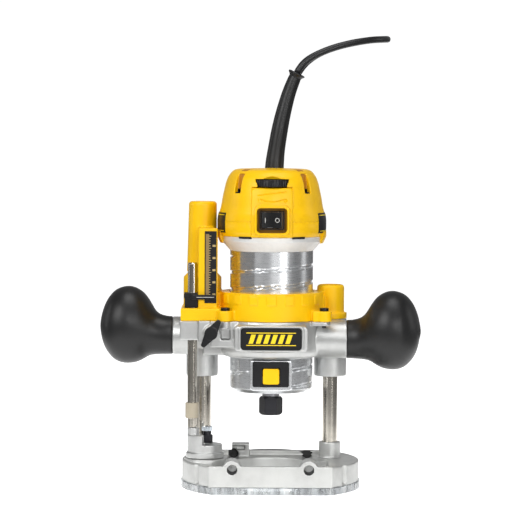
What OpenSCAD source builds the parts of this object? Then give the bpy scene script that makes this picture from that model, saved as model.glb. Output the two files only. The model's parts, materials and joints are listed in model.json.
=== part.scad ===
// Compact plunge trim router: round motor unit held in a cast plunge carriage
// that slides on two columns of a double-D base.
// Frame: origin on the spindle axis at the resting face of the sub-base,
// +X to the right-hand handle side, -Y to the switch side, +Z up.

/* [Base] */
// Radius of the clear sub-base
sub_r = 74.7; // [74:0.1:76]
// Half depth between the two flats of the sub-base
sub_flat = 57; // [57:0.5:58]
// Thickness of the sub-base
sub_t = 5.6; // [5:0.1:6]
// Radius of the bit opening in the sub-base
guide_r = 30; // [28:0.5:30]
// Radius of the base casting
base_r = 73.5; // [73:0.1:74]
// Height of the base casting's rim above the resting face
rim_z = 22.5; // [22:0.5:24]
// Half spacing of the edge-guide rod bores
rod_x = 31.3; // [31:0.1:32]
// Radius of the edge-guide rod bores
rod_r = 4; // [3.9:0.05:4.1]

/* [Columns] */
// Radius of the left column
lcol_r = 7.5; // [7.4:0.05:7.55]
// Radius of the right column
rcol_r = 6.2; // [6.1:0.05:6.25]

/* [Motor] */
// Radius of the motor body
motor_r = 34.5; // [34:0.1:34.5]
// Top of the motor body
motor_top = 196.5; // [196:0.5:197]

/* [Depth stop] */
// Radius of the depth rod
depth_r = 4; // [3.9:0.05:4]
// Radius of the turret's disc
turret_r = 15.6; // [15:0.1:15.7]

/* [Cord] */
// Diameter of the supply cord
cord_d = 5.8; // [5.6:0.1:6]

/* [Hidden] */
$fn = 64;

// placing of the main axes
lc = [-57.6, 11];      // left column
rc = [49.5, 10];       // right column
tc = [-54.3, -18];     // turret
dr = [-65, -18];       // depth rod
ha = 10.8;             // turn of the handle line about Z
hz = 124;              // height of the handle line
top_z = 139.6;         // top face of the carriage casting
neck0 = 62.2;          // end plane of the right neck
neck1 = 82.4;          // end plane of the left neck
grip0 = neck0 / cos(ha);  // start of the right grip along the handle line
grip1 = neck1 / cos(ha);  // start of the left grip along the handle line
floor_z = 18;          // floor of the base tray

// ---- helpers ----
function rrp(w, h, r, n = 6) = concat(
  [for (i = [0:n]) [w / 2 - r + r * cos(90 * i / n), h / 2 - r + r * sin(90 * i / n)]],
  [for (i = [0:n]) [-w / 2 + r - r * sin(90 * i / n), h / 2 - r + r * cos(90 * i / n)]],
  [for (i = [0:n]) [-w / 2 + r - r * cos(90 * i / n), -h / 2 + r - r * sin(90 * i / n)]],
  [for (i = [0:n]) [w / 2 - r + r * sin(90 * i / n), -h / 2 + r - r * cos(90 * i / n)]]);
// rounded plate standing in the XZ plane, front face at y0, thickness t towards +Y
module plate_xz(x, z, w, h, r, y0, t) {
  translate([x, y0 + t, z]) rotate([90, 0, 0]) linear_extrude(t) polygon(rrp(w, h, r));
}
module rod_y(x, z, r, y0, y1) { translate([x, y1, z]) rotate([90, 0, 0]) cylinder(r = r, h = y1 - y0); }
module rod_x_(y, z, r, x0, x1) { translate([x0, y, z]) rotate([0, 90, 0]) cylinder(r = r, h = x1 - x0); }
module tube(ro, ri, z0, z1) {
  translate([0, 0, z0]) difference() {
    cylinder(r = ro, h = z1 - z0);
    translate([0, 0, -1]) cylinder(r = ri, h = z1 - z0 + 2);
  }
}
module wedge(a0, a1, r, z0, z1) {
  translate([0, 0, z0]) linear_extrude(z1 - z0)
    polygon(concat([[0, 0]], [for (i = [0:6]) let(a = a0 + (a1 - a0) * i / 6) r * [cos(a), sin(a)]]));
}
function unit(v) = v / norm(v);
// swept tube along points p with radius r[i], n sides, capped
module sweep(p, r, n = 8) {
  m = len(p);
  t = [for (i = [0:m - 1]) unit(p[min(i + 1, m - 1)] - p[max(i - 1, 0)])];
  ref = sweep_frames(t, 0, unit(cross(t[0], abs(t[0][2]) > 0.9 ? [0, 1, 0] : [0, 0, 1])));
  pts = [for (i = [0:m - 1]) let(a = ref[i], b = cross(t[i], a))
    for (j = [0:n - 1]) p[i] + r[i] * (cos(360 * j / n) * a + sin(360 * j / n) * b)];
  faces = concat(
    [[for (j = [0:n - 1]) n - 1 - j]],
    [for (i = [0:m - 2]) for (j = [0:n - 1])
      [i * n + j, i * n + (j + 1) % n, (i + 1) * n + (j + 1) % n, (i + 1) * n + j]],
    [[for (j = [0:n - 1]) (m - 1) * n + j]]);
  polyhedron(points = pts, faces = [for (f = faces) [for (k = [len(f) - 1:-1:0]) f[k]]], convexity = 6);
}
function sweep_frames(t, i, a) = i >= len(t) ? [] :
  let(b = unit(a - (a * t[i]) * t[i])) concat([b], sweep_frames(t, i + 1, b));
// Catmull-Rom curve through control points c, k steps a span
function crpt(a, b, c, d, u) = 0.5 * ((2 * b) + (c - a) * u + (2 * a - 5 * b + 4 * c - d) * u * u + (3 * b - a - 3 * c + d) * u * u * u);
function curve(c, k) = concat([for (i = [0:len(c) - 2]) for (j = [0:k - 1])
  crpt(i == 0 ? 2 * c[0] - c[1] : c[i - 1], c[i], c[i + 1],
       i + 2 > len(c) - 1 ? 2 * c[len(c) - 1] - c[len(c) - 2] : c[i + 2], j / k)], [c[len(c) - 1]]);
module helix(rm, wr, z0, z1, turns, seg = 12, n = 5) {
  m = round(turns * seg);
  sweep([for (i = [0:m]) [rm * cos(360 * i / seg), rm * sin(360 * i / seg), z0 + (z1 - z0) * i / m]],
        [for (i = [0:m]) wr], n);
}

// ---- base ----
module base_outline(r, f) { intersection() { circle(r = r, $fn = 180); square([2 * r + 2, 2 * f], center = true); } }
screw_at = [[-40, -47], [40, -47], [-40, 47], [40, 47]];
module sub_base() {
  color([0.78, 0.82, 0.84, 0.6]) difference() {
    linear_extrude(sub_t) base_outline(sub_r, sub_flat);
    translate([0, 0, -1]) cylinder(r = guide_r, h = sub_t + 2);
    for (p = screw_at) translate([p[0], p[1], -1]) cylinder(r = 2.3, h = sub_t + 2);
    for (p = screw_at) translate([p[0], p[1], -0.01]) cylinder(r = 4.6, h = 3);
  }
}
module sub_base_screws() {
  color("dimgray") for (p = screw_at) translate([p[0], p[1], 0]) difference() {
    union() {
      translate([0, 0, 0.4]) cylinder(r = 4.2, h = 2.55);
      translate([0, 0, 1]) cylinder(r = 1.95, h = 11);
    }
    translate([0, 0, -0.2]) cylinder(r = 1.6, h = 2.2, $fn = 6);
  }
}
module base_casting() {
  color("silver") difference() {
    union() {
      difference() {
        translate([0, 0, sub_t]) linear_extrude(rim_z - sub_t) base_outline(base_r, sub_flat - 0.5);
        // tray between rim, pads and bosses
        translate([0, 0, floor_z]) linear_extrude(20) difference() {
          intersection() { circle(r = 67); square([94, 103], center = true); }
          translate([60, 8]) circle(r = 27);
          translate([tc[0] - 1, tc[1] + 1]) circle(r = 19.5);
          translate(lc) circle(r = 15);
          translate([-66, -22]) square([30, 40]);
        }
      }
      // raised pad under the turret and round the left column
      intersection() {
        translate([0, 0, sub_t]) linear_extrude(25.5 - sub_t) base_outline(base_r - 1, sub_flat - 0.5);
        union() {
          translate([tc[0], tc[1], 0]) cylinder(r = 18.2, h = 30);
          translate([lc[0], lc[1], 0]) cylinder(r = 13.5, h = 30);
        }
      }
      // boss of the right column
      translate([rc[0], rc[1], 10]) cylinder(r = 9, h = 26);
      // edge-guide rod bosses
      for (s = [-1, 1]) {
        rod_y(s * rod_x, 20.4, 7.5, -56.5, -36.5);
        translate([s * rod_x - 7.5, -56.5, 10]) cube([15, 20, 10.4]);
      }
      // front pad
      translate([-50.8, -56.5, sub_t]) cube([101.6, 6, 23.2 - sub_t]);
      // stop block at the back left
      difference() {
        translate([-32.8, 40, 10]) cube([14.8, 12.5, 19.4]);
        translate([-34, 38.5, 24]) cube([12.4, 6, 4]);
      }
      // lip of the opening and the curved rib from the left pad
      tube(35, 31, 10, 19.2);
      intersection() {
        translate([-34, 12, 0]) tube(24, 20.5, 10, 22);
        translate([-40, -20, 0]) cube([40, 30, 40]);
      }
    }
    // bit opening
    translate([0, 0, 0]) cylinder(r = 32, h = 60);
    // edge-guide rod bores: a fitting land in the front boss, relieved behind it
    for (s = [-1, 1]) { rod_y(s * rod_x, 20.4, rod_r, -60, -30); rod_y(s * rod_x, 20.4, rod_r + 0.35, -36.5, 49.6); }
    // half-round grooves in the outer wall
    for (s = [-1, 1]) translate([s * 61.2, -42, 9]) { cylinder(r = 3.4, h = 30); sphere(r = 3.4); }
    // column seats and their set screws
    translate([lc[0], lc[1], 8]) cylinder(r = lcol_r + 0.05, h = 40);
    translate([rc[0], rc[1], 8]) cylinder(r = rcol_r + 0.05, h = 40);
    rod_x_(lc[1], 14, 2.05, -80, lc[0]);
    rod_x_(rc[1], 14, 2.05, rc[0], 80);
    // turret pivot and detent pocket
    translate([tc[0], tc[1], 9]) cylinder(r = 2.55, h = 30);
    translate([tc[0] + 9, tc[1], 21]) cylinder(r = 2.1, h = 10);
    // sub-base screws
    for (p = screw_at) translate([p[0], p[1], 0]) cylinder(r = 2, h = 15);
  }
}
module left_column() {
  color("lightgray") translate([lc[0], lc[1], 0]) difference() {
    union() { translate([0, 0, 8]) cylinder(r = lcol_r, h = 164); }
    translate([0, 0, 16]) cylinder(r = 5.4, h = 170);
  }
}
module right_column() {
  color("lightgray") translate([rc[0], rc[1], 8]) {
    cylinder(r = rcol_r, h = 139);
    translate([0, 0, 139]) cylinder(r1 = rcol_r, r2 = rcol_r - 1.2, h = 1.2);
  }
}
module column_set_screws() {
  color("dimgray") {
    difference() { rod_x_(lc[1], 14, 2, -71.5, lc[0] - lcol_r - 0.02); rod_x_(lc[1], 14, 1.1, -72, -69.5, $fn = 6); }
    difference() { rod_x_(rc[1], 14, 2, rc[0] + rcol_r + 0.02, 71.5); rod_x_(rc[1], 14, 1.1, 69.5, 72, $fn = 6); }
  }
}
module column_stop_rings() {
  color("dimgray") {
    translate([lc[0], lc[1], 0]) tube(9.6, lcol_r, top_z + 0.4, top_z + 3.4);
    translate([rc[0], rc[1], 0]) tube(8.2, rcol_r, top_z + 0.4, top_z + 3.4);
  }
}
module plunge_spring() {
  color("gray") translate([lc[0], lc[1], 0]) helix(4.1, 0.65, 16.8, 232.8, 27);
}
module detent_ball() { color("lightgray") translate([tc[0] + 9, tc[1], 23.4]) sphere(r = 1.95); }

// ---- turret ----
tz = 25.9;
module turret() {
  color("silver") translate([tc[0], tc[1], 0]) difference() {
    union() {
      translate([0, 0, tz]) cylinder(r = turret_r, h = 4.3);
      intersection() { translate([0, 0, tz]) cylinder(r = 14.3, h = 40); wedge(-100, 122, 30, 20, 36.8); }
      intersection() { translate([0, 0, tz]) cylinder(r = 14.3, h = 40); wedge(120, 200, 30, 20, 44.6); }
      intersection() { translate([0, 0, tz]) cylinder(r = 14.3, h = 40); wedge(198, 262, 30, 20, 44.6); }
      translate([-9.6, 0, 30]) cylinder(r = 4.9, h = 20.4);
      translate([0, 0, tz]) cylinder(r = 6.5, h = 8);
    }
    translate([0, 0, 20]) cylinder(r = 2.6, h = 40);
    translate([0, 0, 33]) cylinder(r = 5, h = 40);
    translate([1.6, 9.4, 28]) cylinder(r = 2.05, h = 30);
    for (a = [0, 90, 180, 270]) rotate(a) translate([9, 0, tz - 0.1]) cylinder(r = 2, h = 0.5);
  }
}
module turret_stop_bolt() {
  color("lightgray") translate([tc[0] + 1.6, tc[1] + 9.4, 0]) {
    translate([0, 0, 29]) cylinder(r = 2, h = 18);
    translate([0, 0, 46.6]) cylinder(r = 4.6, h = 3.8, $fn = 6);
  }
}
module turret_jam_nut() {
  color("dimgray") translate([tc[0] + 1.6, tc[1] + 9.4, 0]) difference() {
    union() {
      translate([0, 0, 36.9]) cylinder(r = 4.7, h = 6.4, $fn = 6);
      translate([0, 0, 43]) cylinder(r = 3.4, h = 3.2);
    }
    translate([0, 0, 30]) cylinder(r = 2.05, h = 30);
  }
}
module turret_screw() {
  color("dimgray") translate([tc[0], tc[1], 0]) difference() {
    union() { translate([0, 0, 10]) cylinder(r = 2.5, h = 23.6); translate([0, 0, 33.3]) cylinder(r = 4.4, h = 2.8); }
    translate([0, 0, 34.2]) cylinder(r = 1.7, h = 3, $fn = 6);
  }
}

// ---- carriage ----
lug_at = [[-37.9, -30], [43.3, -27.5], [-28.7, 37.4], [31.6, 35]];
module handle_line() { rotate([0, 0, -ha]) children(); }
module carriage_casting() {
  color("silver") difference() {
    union() {
      // collar round the motor, rounded at its lower rim
      rotate_extrude($fn = 120) polygon([[30, 108.7], [37.5, 108.7], [39.6, 109.4], [41.4, 111], [42.6, 113.4], [43, 116], [43, top_z], [30, top_z]]);
      // sleeves
      translate([lc[0], lc[1], 91.1]) cylinder(r = 13.2, h = top_z - 91.1);
      translate([rc[0], rc[1], 91.4]) cylinder(r = 13.5, h = top_z - 91.4);
      // handle necks
      difference() {
        handle_line() {
          rod_x_(0, hz, 15.9, 30, grip0 + 6);
          rod_x_(0, hz, 15.9, -grip1 - 6, -52);
        }
        translate([neck0, -70, 90]) cube([30, 140, 70]);
        translate([-neck1 - 30, -70, 90]) cube([30, 140, 70]);
      }
      // web to the left sleeve, with its lower flange
      translate([-56, -12, 110]) cube([26, 34, top_z - 110]);
      translate([-50, -33, 118]) cube([24, 26, top_z - 118]);
      // boss of the depth rod and of its lock screw
      translate([-75.2, -27, 123.4]) cube([17, 36, top_z - 123.4]);
      translate([-60, -30, 121]) cube([14, 30, top_z - 121]);
      rod_y(-49.3, 130.1, 6.2, -33.2, -10);
      // web to the right sleeve
      translate([30, -14, 110]) cube([18, 30, top_z - 110]);
      // pad of the nameplate with its raised rim
      plate_xz(-0.1, 126.25, 60, 21.5, 4, -44.6, 14);
      plate_xz(-0.1, 126.25, 53, 21.2, 3.4, -45.6, 6);
      // screw lugs
      for (i = [0:3]) let(p = lug_at[i], z = i == 1 ? 136.2 : 128) translate([p[0], p[1], z]) cylinder(r = 5.2, h = top_z - z);
      translate([-38, -31, 128]) cube([12, 12, top_z - 128]);
      translate([33, -32, 136.2]) cube([9, 14, top_z - 136.2]);
      // clamp ears at the back
      translate([-15, 34, 112]) cube([30, 22, 24]);
      // boss of the plunge lock screw
      rod_y(lc[0], 115, 8.5, 18, 34);
    }
    // top face
    translate([-110, -60, top_z]) cube([220, 130, 20]);
    // motor seat
    translate([0, 0, 90]) cylinder(r = motor_r + 0.1, h = 60);
    // nameplate recess
    plate_xz(-0.1, 126.25, 50.2, 18.4, 2.6, -46, 1.4);
    // pockets between the ribs of the left web
    translate([-41.5, -40, 124.5]) cube([8, 12, 9]);
    translate([-31, -40, 124.5]) cube([2.6, 8, 9]);
    // sleeve bores
    translate([lc[0], lc[1], 80]) cylinder(r = 9.2, h = 80);
    translate([rc[0], rc[1], 80]) cylinder(r = 7.9, h = 80);
    // depth rod, its slit and lock screw
    translate([dr[0], dr[1], 100]) cylinder(r = depth_r + 0.06, h = 60);
    translate([dr[0], dr[1], 120]) cylinder(r = 6.2, h = 7);
    translate([-62, -18.6, 120]) cube([18, 1.2, 30]);
    rod_y(-49.3, 130.1, 2.1, -40, -12);
    // clamp slit and bolt
    translate([-1.5, 30, 100]) cube([3, 40, 60]);
    rod_x_(50, hz, 3.1, -20, 20);
    // plunge lock screw
    rod_y(lc[0], 115, 3.55, lc[1], 50);
    // handle studs
    handle_line() {
      rod_x_(0, hz, 4.02, grip0 - 17, grip0 + 2);
      rod_x_(0, hz, 4.02, -grip1 - 2, -grip1 + 13);
    }
    // cover screws
    for (p = lug_at) translate([p[0], p[1], 130]) cylinder(r = 1.75, h = 20);
  }
}
module column_bushings() {
  color("darkgoldenrod") for (z = [92.5, 124]) {
    translate([lc[0], lc[1], 0]) tube(9.2, lcol_r + 0.05, z, z + 13.5);
    translate([rc[0], rc[1], 0]) tube(7.9, rcol_r + 0.05, z, z + 13.5);
  }
}
module handle_studs() {
  color("gray") handle_line() { rod_x_(0, hz, 4, grip0 - 16, grip0 + 38); rod_x_(0, hz, 4, -grip1 - 38, -grip1 + 12); }
}
// grip: [distance from neck, top, bottom, half width]
grip = [[0, 15.8, -15.8, 15.9], [6, 16.3, -16, 16.1], [12, 18.2, -16.3, 17], [16, 21.6, -16.7, 18.3], [19, 26, -17.3, 20],
  [22, 30.8, -18.6, 21.8], [26, 35.6, -21, 24], [31, 38.9, -23.2, 25.8], [36, 40.5, -24.1, 26.8], [41, 40.4, -24.2, 27],
  [46, 38.9, -23, 26.2], [50, 36.4, -20.7, 24.4], [54, 31.9, -16.6, 21], [57, 26.6, -12, 17], [59.2, 20.6, -6.2, 12.6],
  [60.6, 14.5, 0.5, 8.4], [61.4, 11.4, 3.2, 4.2]];
// the first rings stand square to X and turn into the handle line over 20 mm
function grip_turn(d) = let(u = min(1, d / 20)) u * u * (3 - 2 * u);
module grip_solid(sg, start) {
  n = 24; m = len(grip);
  pts = [for (g = grip) for (j = [0:n - 1])
    let(a = 360 * j / n, c = (g[1] + g[2]) / 2, h = (g[1] - g[2]) / 2, x = sg * (start + g[0]), y = g[3] * cos(a))
    [x * cos(ha) + grip_turn(g[0]) * y * sin(ha), -x * sin(ha) + y * cos(ha), hz + c + h * sin(a)]];
  f = concat([[for (j = [0:n - 1]) j]],
      [for (i = [0:m - 2]) for (j = [0:n - 1]) [i * n + j, (i + 1) * n + j, (i + 1) * n + (j + 1) % n, i * n + (j + 1) % n]],
      [[for (j = [0:n - 1]) (m - 1) * n + n - 1 - j]]);
  difference() {
    polyhedron(points = pts, faces = sg > 0 ? f : [for (q = f) [for (t = [len(q) - 1:-1:0]) q[t]]], convexity = 4);
    handle_line() rod_x_(0, hz, 4.02, min(sg * (start - 3), sg * (start + 39)), max(sg * (start - 3), sg * (start + 39)));
  }
}
module right_handle() { color([0.16, 0.16, 0.17]) grip_solid(1, grip0); }
module left_handle() { color([0.16, 0.16, 0.17]) grip_solid(-1, grip1); }
module nameplate() { color([0.1, 0.1, 0.1]) plate_xz(-0.1, 126.25, 49.6, 17.9, 2.5, -45.9, 1.2); }

// ---- yellow cover of the carriage ----
module cover_outline() {
  circle(r = 43, $fn = 120);
  translate([-74.6, -29]) square([34, 42]);
  translate(lc) circle(r = 15.9);
  translate([-58, -12]) square([40, 36]);
  translate([20, -14]) square([28, 30]);
  translate(rc) circle(r = 13.6);
}
module carriage_cover() {
  color([0.98, 0.76, 0.05]) difference() {
    union() {
      translate([0, 0, top_z]) linear_extrude(5) cover_outline();
      translate([0, 0, top_z]) cylinder(r = 43, h = 23, $fn = 120);
      // left flange
      translate([-74.6, -29, top_z]) cube([34, 42, 10.2]);
      translate([-50, -12, top_z]) cube([20, 30, 22]);
      // tall tube, flared foot and scale housing
      translate([lc[0], lc[1], top_z]) cylinder(r = 11.65, h = 97);
      translate([lc[0], lc[1], top_z]) cylinder(r = 15.85, h = 34);
      translate([lc[0], lc[1], top_z + 34]) cylinder(r1 = 15.85, r2 = 11.65, h = 4.2);
      translate([-60.2, -25, top_z + 1]) cube([15.7, 12.5, 74.8]);
      translate([-60.2, -13, top_z + 1]) cube([12.4, 18, 74.8]);
      // right cap
      translate([rc[0], rc[1], top_z]) cylinder(r = 11.35, h = 28.2);
      translate([36, -6, top_z]) cube([8, 16, 19]);
      // screw lugs
      for (p = lug_at) translate([p[0], p[1], top_z]) cylinder(r = 6.4, h = 8.6);
      translate([-44, -31, top_z]) cube([16, 14, 8.6]);
      translate([34, -32, top_z]) cube([10, 16, 8.6]);
      // castellated pads round the ring
      for (a = [-150:20:-30]) rotate(a) translate([30, -3.6, top_z + 14]) cube([13.7, 7.2, 7.4]);
    }
    translate([0, 0, top_z - 1]) cylinder(r = 35.3, h = 60);
    translate([lc[0], lc[1], top_z - 1]) cylinder(r = 10.4, h = 95);
    translate([rc[0], rc[1], top_z - 1]) cylinder(r = 9, h = 60);
    translate([dr[0], dr[1], top_z - 1]) cylinder(r = depth_r + 0.4, h = 30);
    // hollow under the scale housing
    translate([-58.2, -22.5, top_z + 12]) cube([9.4, 18, 61]);
    for (p = lug_at) translate([p[0], p[1], top_z - 1]) cylinder(r = 1.75, h = 20);
    for (p = lug_at) translate([p[0], p[1], top_z + 8.55]) cylinder(r = 4, h = 3);
  }
}
module cover_screws() {
  color([0.12, 0.12, 0.12]) for (p = lug_at) translate([p[0], p[1], 0]) difference() {
    union() { translate([0, 0, top_z + 8.7]) cylinder(r = 3.75, h = 2.4); translate([0, 0, 134.4]) cylinder(r = 1.7, h = 14.6); }
    translate([0, 0, top_z + 9.9]) cylinder(r = 1.7, h = 3, $fn = 6);
  }
}
module scale_plate() { color([0.09, 0.09, 0.09]) translate([-55, -25.7, 154]) cube([9.7, 0.6, 59.2]); }

// ---- depth rod ----
module depth_rod() {
  color("lightgray") translate([dr[0], dr[1], 0]) {
    translate([0, 0, 58]) cylinder(r = depth_r, h = 128);
    translate([0, 0, 186]) cylinder(r1 = depth_r, r2 = depth_r - 0.8, h = 1);
    translate([0, 0, 50.9]) cylinder(r = 3.7, h = 8);
  }
}
module depth_rod_ferrule() { color("tan") translate([dr[0], dr[1], 0]) tube(5.7, depth_r, 58.4, 71.1); }
module depth_pointer() {
  color([0.1, 0.1, 0.1]) difference() {
    union() {
      translate([-71.4, -24.6, 150.2]) cube([10.7, 12.6, 8]);
      translate([-72, -25.2, 158]) cube([11.3, 13.6, 4.2]);
      translate([-66, -28.1, 157]) cube([19.6, 2, 4]);
      translate([-66, -28.1, 157]) cube([4.8, 6, 4]);
    }
    translate([dr[0], dr[1], 140]) cylinder(r = depth_r + 0.05, h = 40);
  }
}
module depth_lock_knob() {
  color([0.1, 0.1, 0.1]) {
    rod_y(-49.3, 130.1, 5.4, -41.5, -33.6);
    rod_y(-49.3, 130.1, 2.05, -34, -14);
    translate([-49.3, 0, 130.1]) rotate([0, 33, 0]) {
      translate([0, -38.4, 0]) rotate([90, 0, 0]) linear_extrude(2.8) polygon([[-4.6, 2], [-1.7, 12.6], [0, 13.2], [1.7, 12.6], [4.6, 2], [4.6, -2], [1.7, -12.6], [0, -13.2], [-1.7, -12.6], [-4.6, -2]]);
    }
  }
}

// ---- levers at the back ----
module plunge_lock_lever() {
  color([0.12, 0.12, 0.12]) difference() {
    union() {
      rod_y(lc[0], 115, 8.2, 38, 46);
      translate([lc[0], 0, 115]) rotate([0, -1, 0]) {
        translate([-36, 45.4, 0]) rotate([90, 0, 0]) linear_extrude(5.2) polygon([[0, -4], [3, -5.2], [20, -5.6], [34, -7], [38, -7], [38, 7], [34, 7], [20, 5.6], [3, 5.2], [0, 4]]);
        translate([-37.5, 42.8, -4.2]) cylinder(r = 3.6, h = 8.4);
      }
    }
    rod_y(lc[0], 115, 3.5, 30, 50);
  }
}
module plunge_lock_screw() {
  color("gray") {
    rod_y(lc[0], 115, 3.5, 19.1, 46.6);
    rod_y(lc[0], 115, 5.4, 46.2, 49);
  }
}
module clamp_bolt() {
  color("gray") difference() {
    union() {
      rod_x_(50, hz, 3.05, -18, 22);
      translate([-18.6, 50, hz]) rotate([0, 90, 0]) cylinder(r = 5.6, h = 3.4, $fn = 6);
      translate([23, 50, hz - 2.6]) cylinder(r = 4.4, h = 5.2);
    }
    translate([23, 50, hz - 5]) cylinder(r = 2.05, h = 10);
  }
}
module clamp_lever() {
  color([0.12, 0.12, 0.12]) difference() {
    union() {
      for (z = [hz - 7.4, hz + 3.3]) translate([23, 50, z]) cylinder(r = 7.2, h = 4.1);
      translate([28.6, 45.6, hz - 7.4]) cube([12, 9, 14.8]);
      translate([40, 45.6, hz - 7.4]) linear_extrude(14.8) polygon([[0, 0], [8, 0.6], [17, 3], [23, 7], [24, 11], [21, 12.4], [15, 10], [8, 9], [0, 9]]);
    }
    translate([23, 50, hz - 10]) cylinder(r = 2, h = 20);
    translate([23, 50, hz - 2.9]) cylinder(r = 5, h = 5.8);
  }
}
module clamp_pin() { color("lightgray") translate([23, 50, hz - 7.4]) cylinder(r = 2, h = 14.8); }

// ---- motor ----
module motor_housing() {
  color("lightgray") difference() {
    union() {
      translate([0, 0, 80]) cylinder(r1 = 31.5, r2 = motor_r, h = 3);
      translate([0, 0, 83]) cylinder(r = motor_r, h = motor_top - 83, $fn = 120);
      plate_xz(0, 95.4, 34, 24.8, 2, -36.6, 12);
    }
    translate([0, 0, 84]) cylinder(r = 31.5, h = 130);
    translate([0, 0, 70]) cylinder(r = 9, h = 30);
    // air outlets
    for (a = [0:36:324]) rotate(a + 18) translate([21, -2.6, 70]) cube([7.5, 5.2, 20]);
    // spindle lock window
    translate([-7.3, -40, 88]) cube([14.6, 12, 13.9]);
  }
  // guide of the lock pin
  color("lightgray") difference() {
    translate([-6, -26.5, 83.5]) cube([12, 2, 14.9]);
    rod_y(0, 94.95, 2.4, -30, -20);
  }
}
module motor_collar() {
  color("silver") difference() {
    translate([0, 0, motor_top]) union() {
      cylinder(r1 = motor_r, r2 = 42, h = 8.4, $fn = 120);
      translate([0, 0, 8.4]) cylinder(r = 42, h = 3.9, $fn = 120);
    }
    translate([0, 0, motor_top - 1]) cylinder(r = 31.5, h = 20);
  }
}
module lock_panel() {
  color([0.1, 0.1, 0.1]) difference() {
    plate_xz(-0.2, 96.7, 29.9, 21, 1.6, -38.4, 1.8);
    translate([-7.05, -40, 88.3]) cube([14.1, 8, 13.3]);
  }
}
module lock_button() {
  color([0.98, 0.78, 0.05]) {
    plate_xz(0, 94.95, 13.3, 12.7, 1.5, -39.2, 6);
    rod_y(0, 94.95, 2.2, -34, -9.6);
  }
}
// leaf spring, drawn pressed flat
module lock_spring() {
  color("gray") difference() {
    translate([0, 0, 92.2]) linear_extrude(5.5)
      polygon([[-5.6, -26.6], [-2.6, -28.7], [2.6, -28.7], [5.6, -26.6], [5.6, -27], [2.7, -29.1], [-2.7, -29.1], [-5.6, -27]]);
    rod_y(0, 94.95, 2.45, -31, -25);
  }
}
module lower_bearing() { color("gray") { tube(12.9, 10.6, 84.4, 92.2); tube(8.5, 6.05, 84.4, 92.2); tube(10.6, 8.5, 85.4, 91.2); } }
module upper_bearing() { color("gray") { tube(10.9, 9.2, 186, 193); tube(6.7, 4.05, 186, 193); tube(9.2, 6.7, 187, 192); } }
module bearing_carriers() {
  color("darkgray") difference() {
    union() {
      // lower bearing carrier
      tube(17, 13, 84.1, 92.4);
      for (a = [0:120:240]) rotate(a + 90) translate([15.5, -3, 84.1]) cube([15.7, 6, 5]);
      // upper bearing carrier
      tube(15, 11, 183, 195);
      for (a = [0:90:270]) rotate(a + 45) translate([13, -3.5, 184]) cube([18.1, 7, 8]);
    }
  }
}
module stator() { color([0.45, 0.45, 0.47]) difference() { translate([0, 0, 113.2]) cylinder(r = 31.3, h = 38); translate([0, 0, 100]) cylinder(r = 17.2, h = 70); for (s = [0, 180]) rotate(s) translate([19, -8, 100]) cube([7, 16, 70]); } }
module field_coils() { color([0.72, 0.4, 0.2]) { tube(29, 19, 107.6, 112.8); tube(29, 19, 151.6, 158); for (s = [0, 180]) rotate(s) translate([19.6, -7.4, 112.5]) cube([5.8, 14.8, 39.5]); } }
module brush_holders() {
  color("darkgoldenrod") for (s = [0, 180]) rotate(s) difference() {
    translate([12.6, -5, 161.6]) cube([18.2, 10, 11]);
    translate([12, -3.2, 163.4]) cube([17, 6.4, 7.4]);
  }
}
module brushes() { color([0.2, 0.2, 0.2]) for (s = [0, 180]) rotate(s) translate([11.15, -3.1, 163.5]) cube([14, 6.2, 7.2]); }
module spindle() {
  color("lightgray") difference() {
    union() {
      translate([0, 0, 61]) cylinder(r = 6.2, h = 14.6);
      translate([0, 0, 75.4]) cylinder(r = 7.2, h = 8);
      translate([0, 0, 83]) cylinder(r = 6, h = 12);
      translate([0, 0, 92.4]) cylinder(r = 9, h = 5);
      translate([0, 0, 97]) cylinder(r = 6, h = 2.2);
      translate([0, 0, 99]) cylinder(r = 5, h = 81);
      translate([0, 0, 180]) cylinder(r = 4, h = 14.4);
    }
    translate([0, 0, 60]) cylinder(r1 = 5.6, r2 = 4.9, h = 20);
    translate([0, 0, 79.9]) cylinder(r = 4.2, h = 10);
    // cross holes of the spindle lock
    rod_y(0, 94.95, 2.35, -12, 12);
    rod_x_(0, 94.95, 2.35, -12, 12);
  }
}
module armature() {
  color([0.5, 0.48, 0.46]) difference() {
    union() { tube(16.6, 5, 114, 150); tube(13, 5, 107.6, 157); }
    for (i = [0:11]) rotate(i * 30) translate([12.6, -1, 113]) cube([6, 2, 38]);
  }
}
module commutator() {
  color([0.72, 0.45, 0.25]) difference() {
    tube(11, 5, 160, 175);
    for (i = [0:11]) rotate(i * 30) translate([10.2, -0.3, 159]) cube([2, 0.6, 20]);
  }
}
module fan() {
  color([0.2, 0.2, 0.22]) {
    difference() {
      union() { tube(28.4, 5, 99.2, 100.8); tube(9, 5, 99.2, 106); }
    }
    for (i = [0:9]) rotate(i * 36) translate([8.6, -0.8, 100.5]) cube([19.4, 1.6, 5.5]);
  }
}
module collet() {
  color("silver") difference() {
    union() { translate([0, 0, 60.3]) cylinder(r1 = 5.5, r2 = 4.85, h = 18.6); }
    translate([0, 0, 50]) cylinder(r = 3.175, h = 40);
    for (a = [0, 90]) rotate(a) translate([3, -0.4, 59]) cube([4, 0.8, 14]);
    for (a = [180, 270]) rotate(a) translate([3, -0.4, 59]) cube([4, 0.8, 14]);
  }
}
module collet_nut() {
  color([0.12, 0.12, 0.13]) difference() {
    intersection() {
      translate([0, 0, 59.6]) cylinder(r = 9.9, h = 15, $fn = 6);
      union() { translate([0, 0, 59.6]) cylinder(r1 = 8.3, r2 = 9.8, h = 1.6); translate([0, 0, 61.2]) cylinder(r = 9.8, h = 11.8); translate([0, 0, 73]) cylinder(r1 = 9.8, r2 = 8.6, h = 1.6); }
    }
    translate([0, 0, 50]) cylinder(r = 5.6, h = 30);
    translate([0, 0, 61]) cylinder(r = 6.24, h = 30);
  }
}

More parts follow.
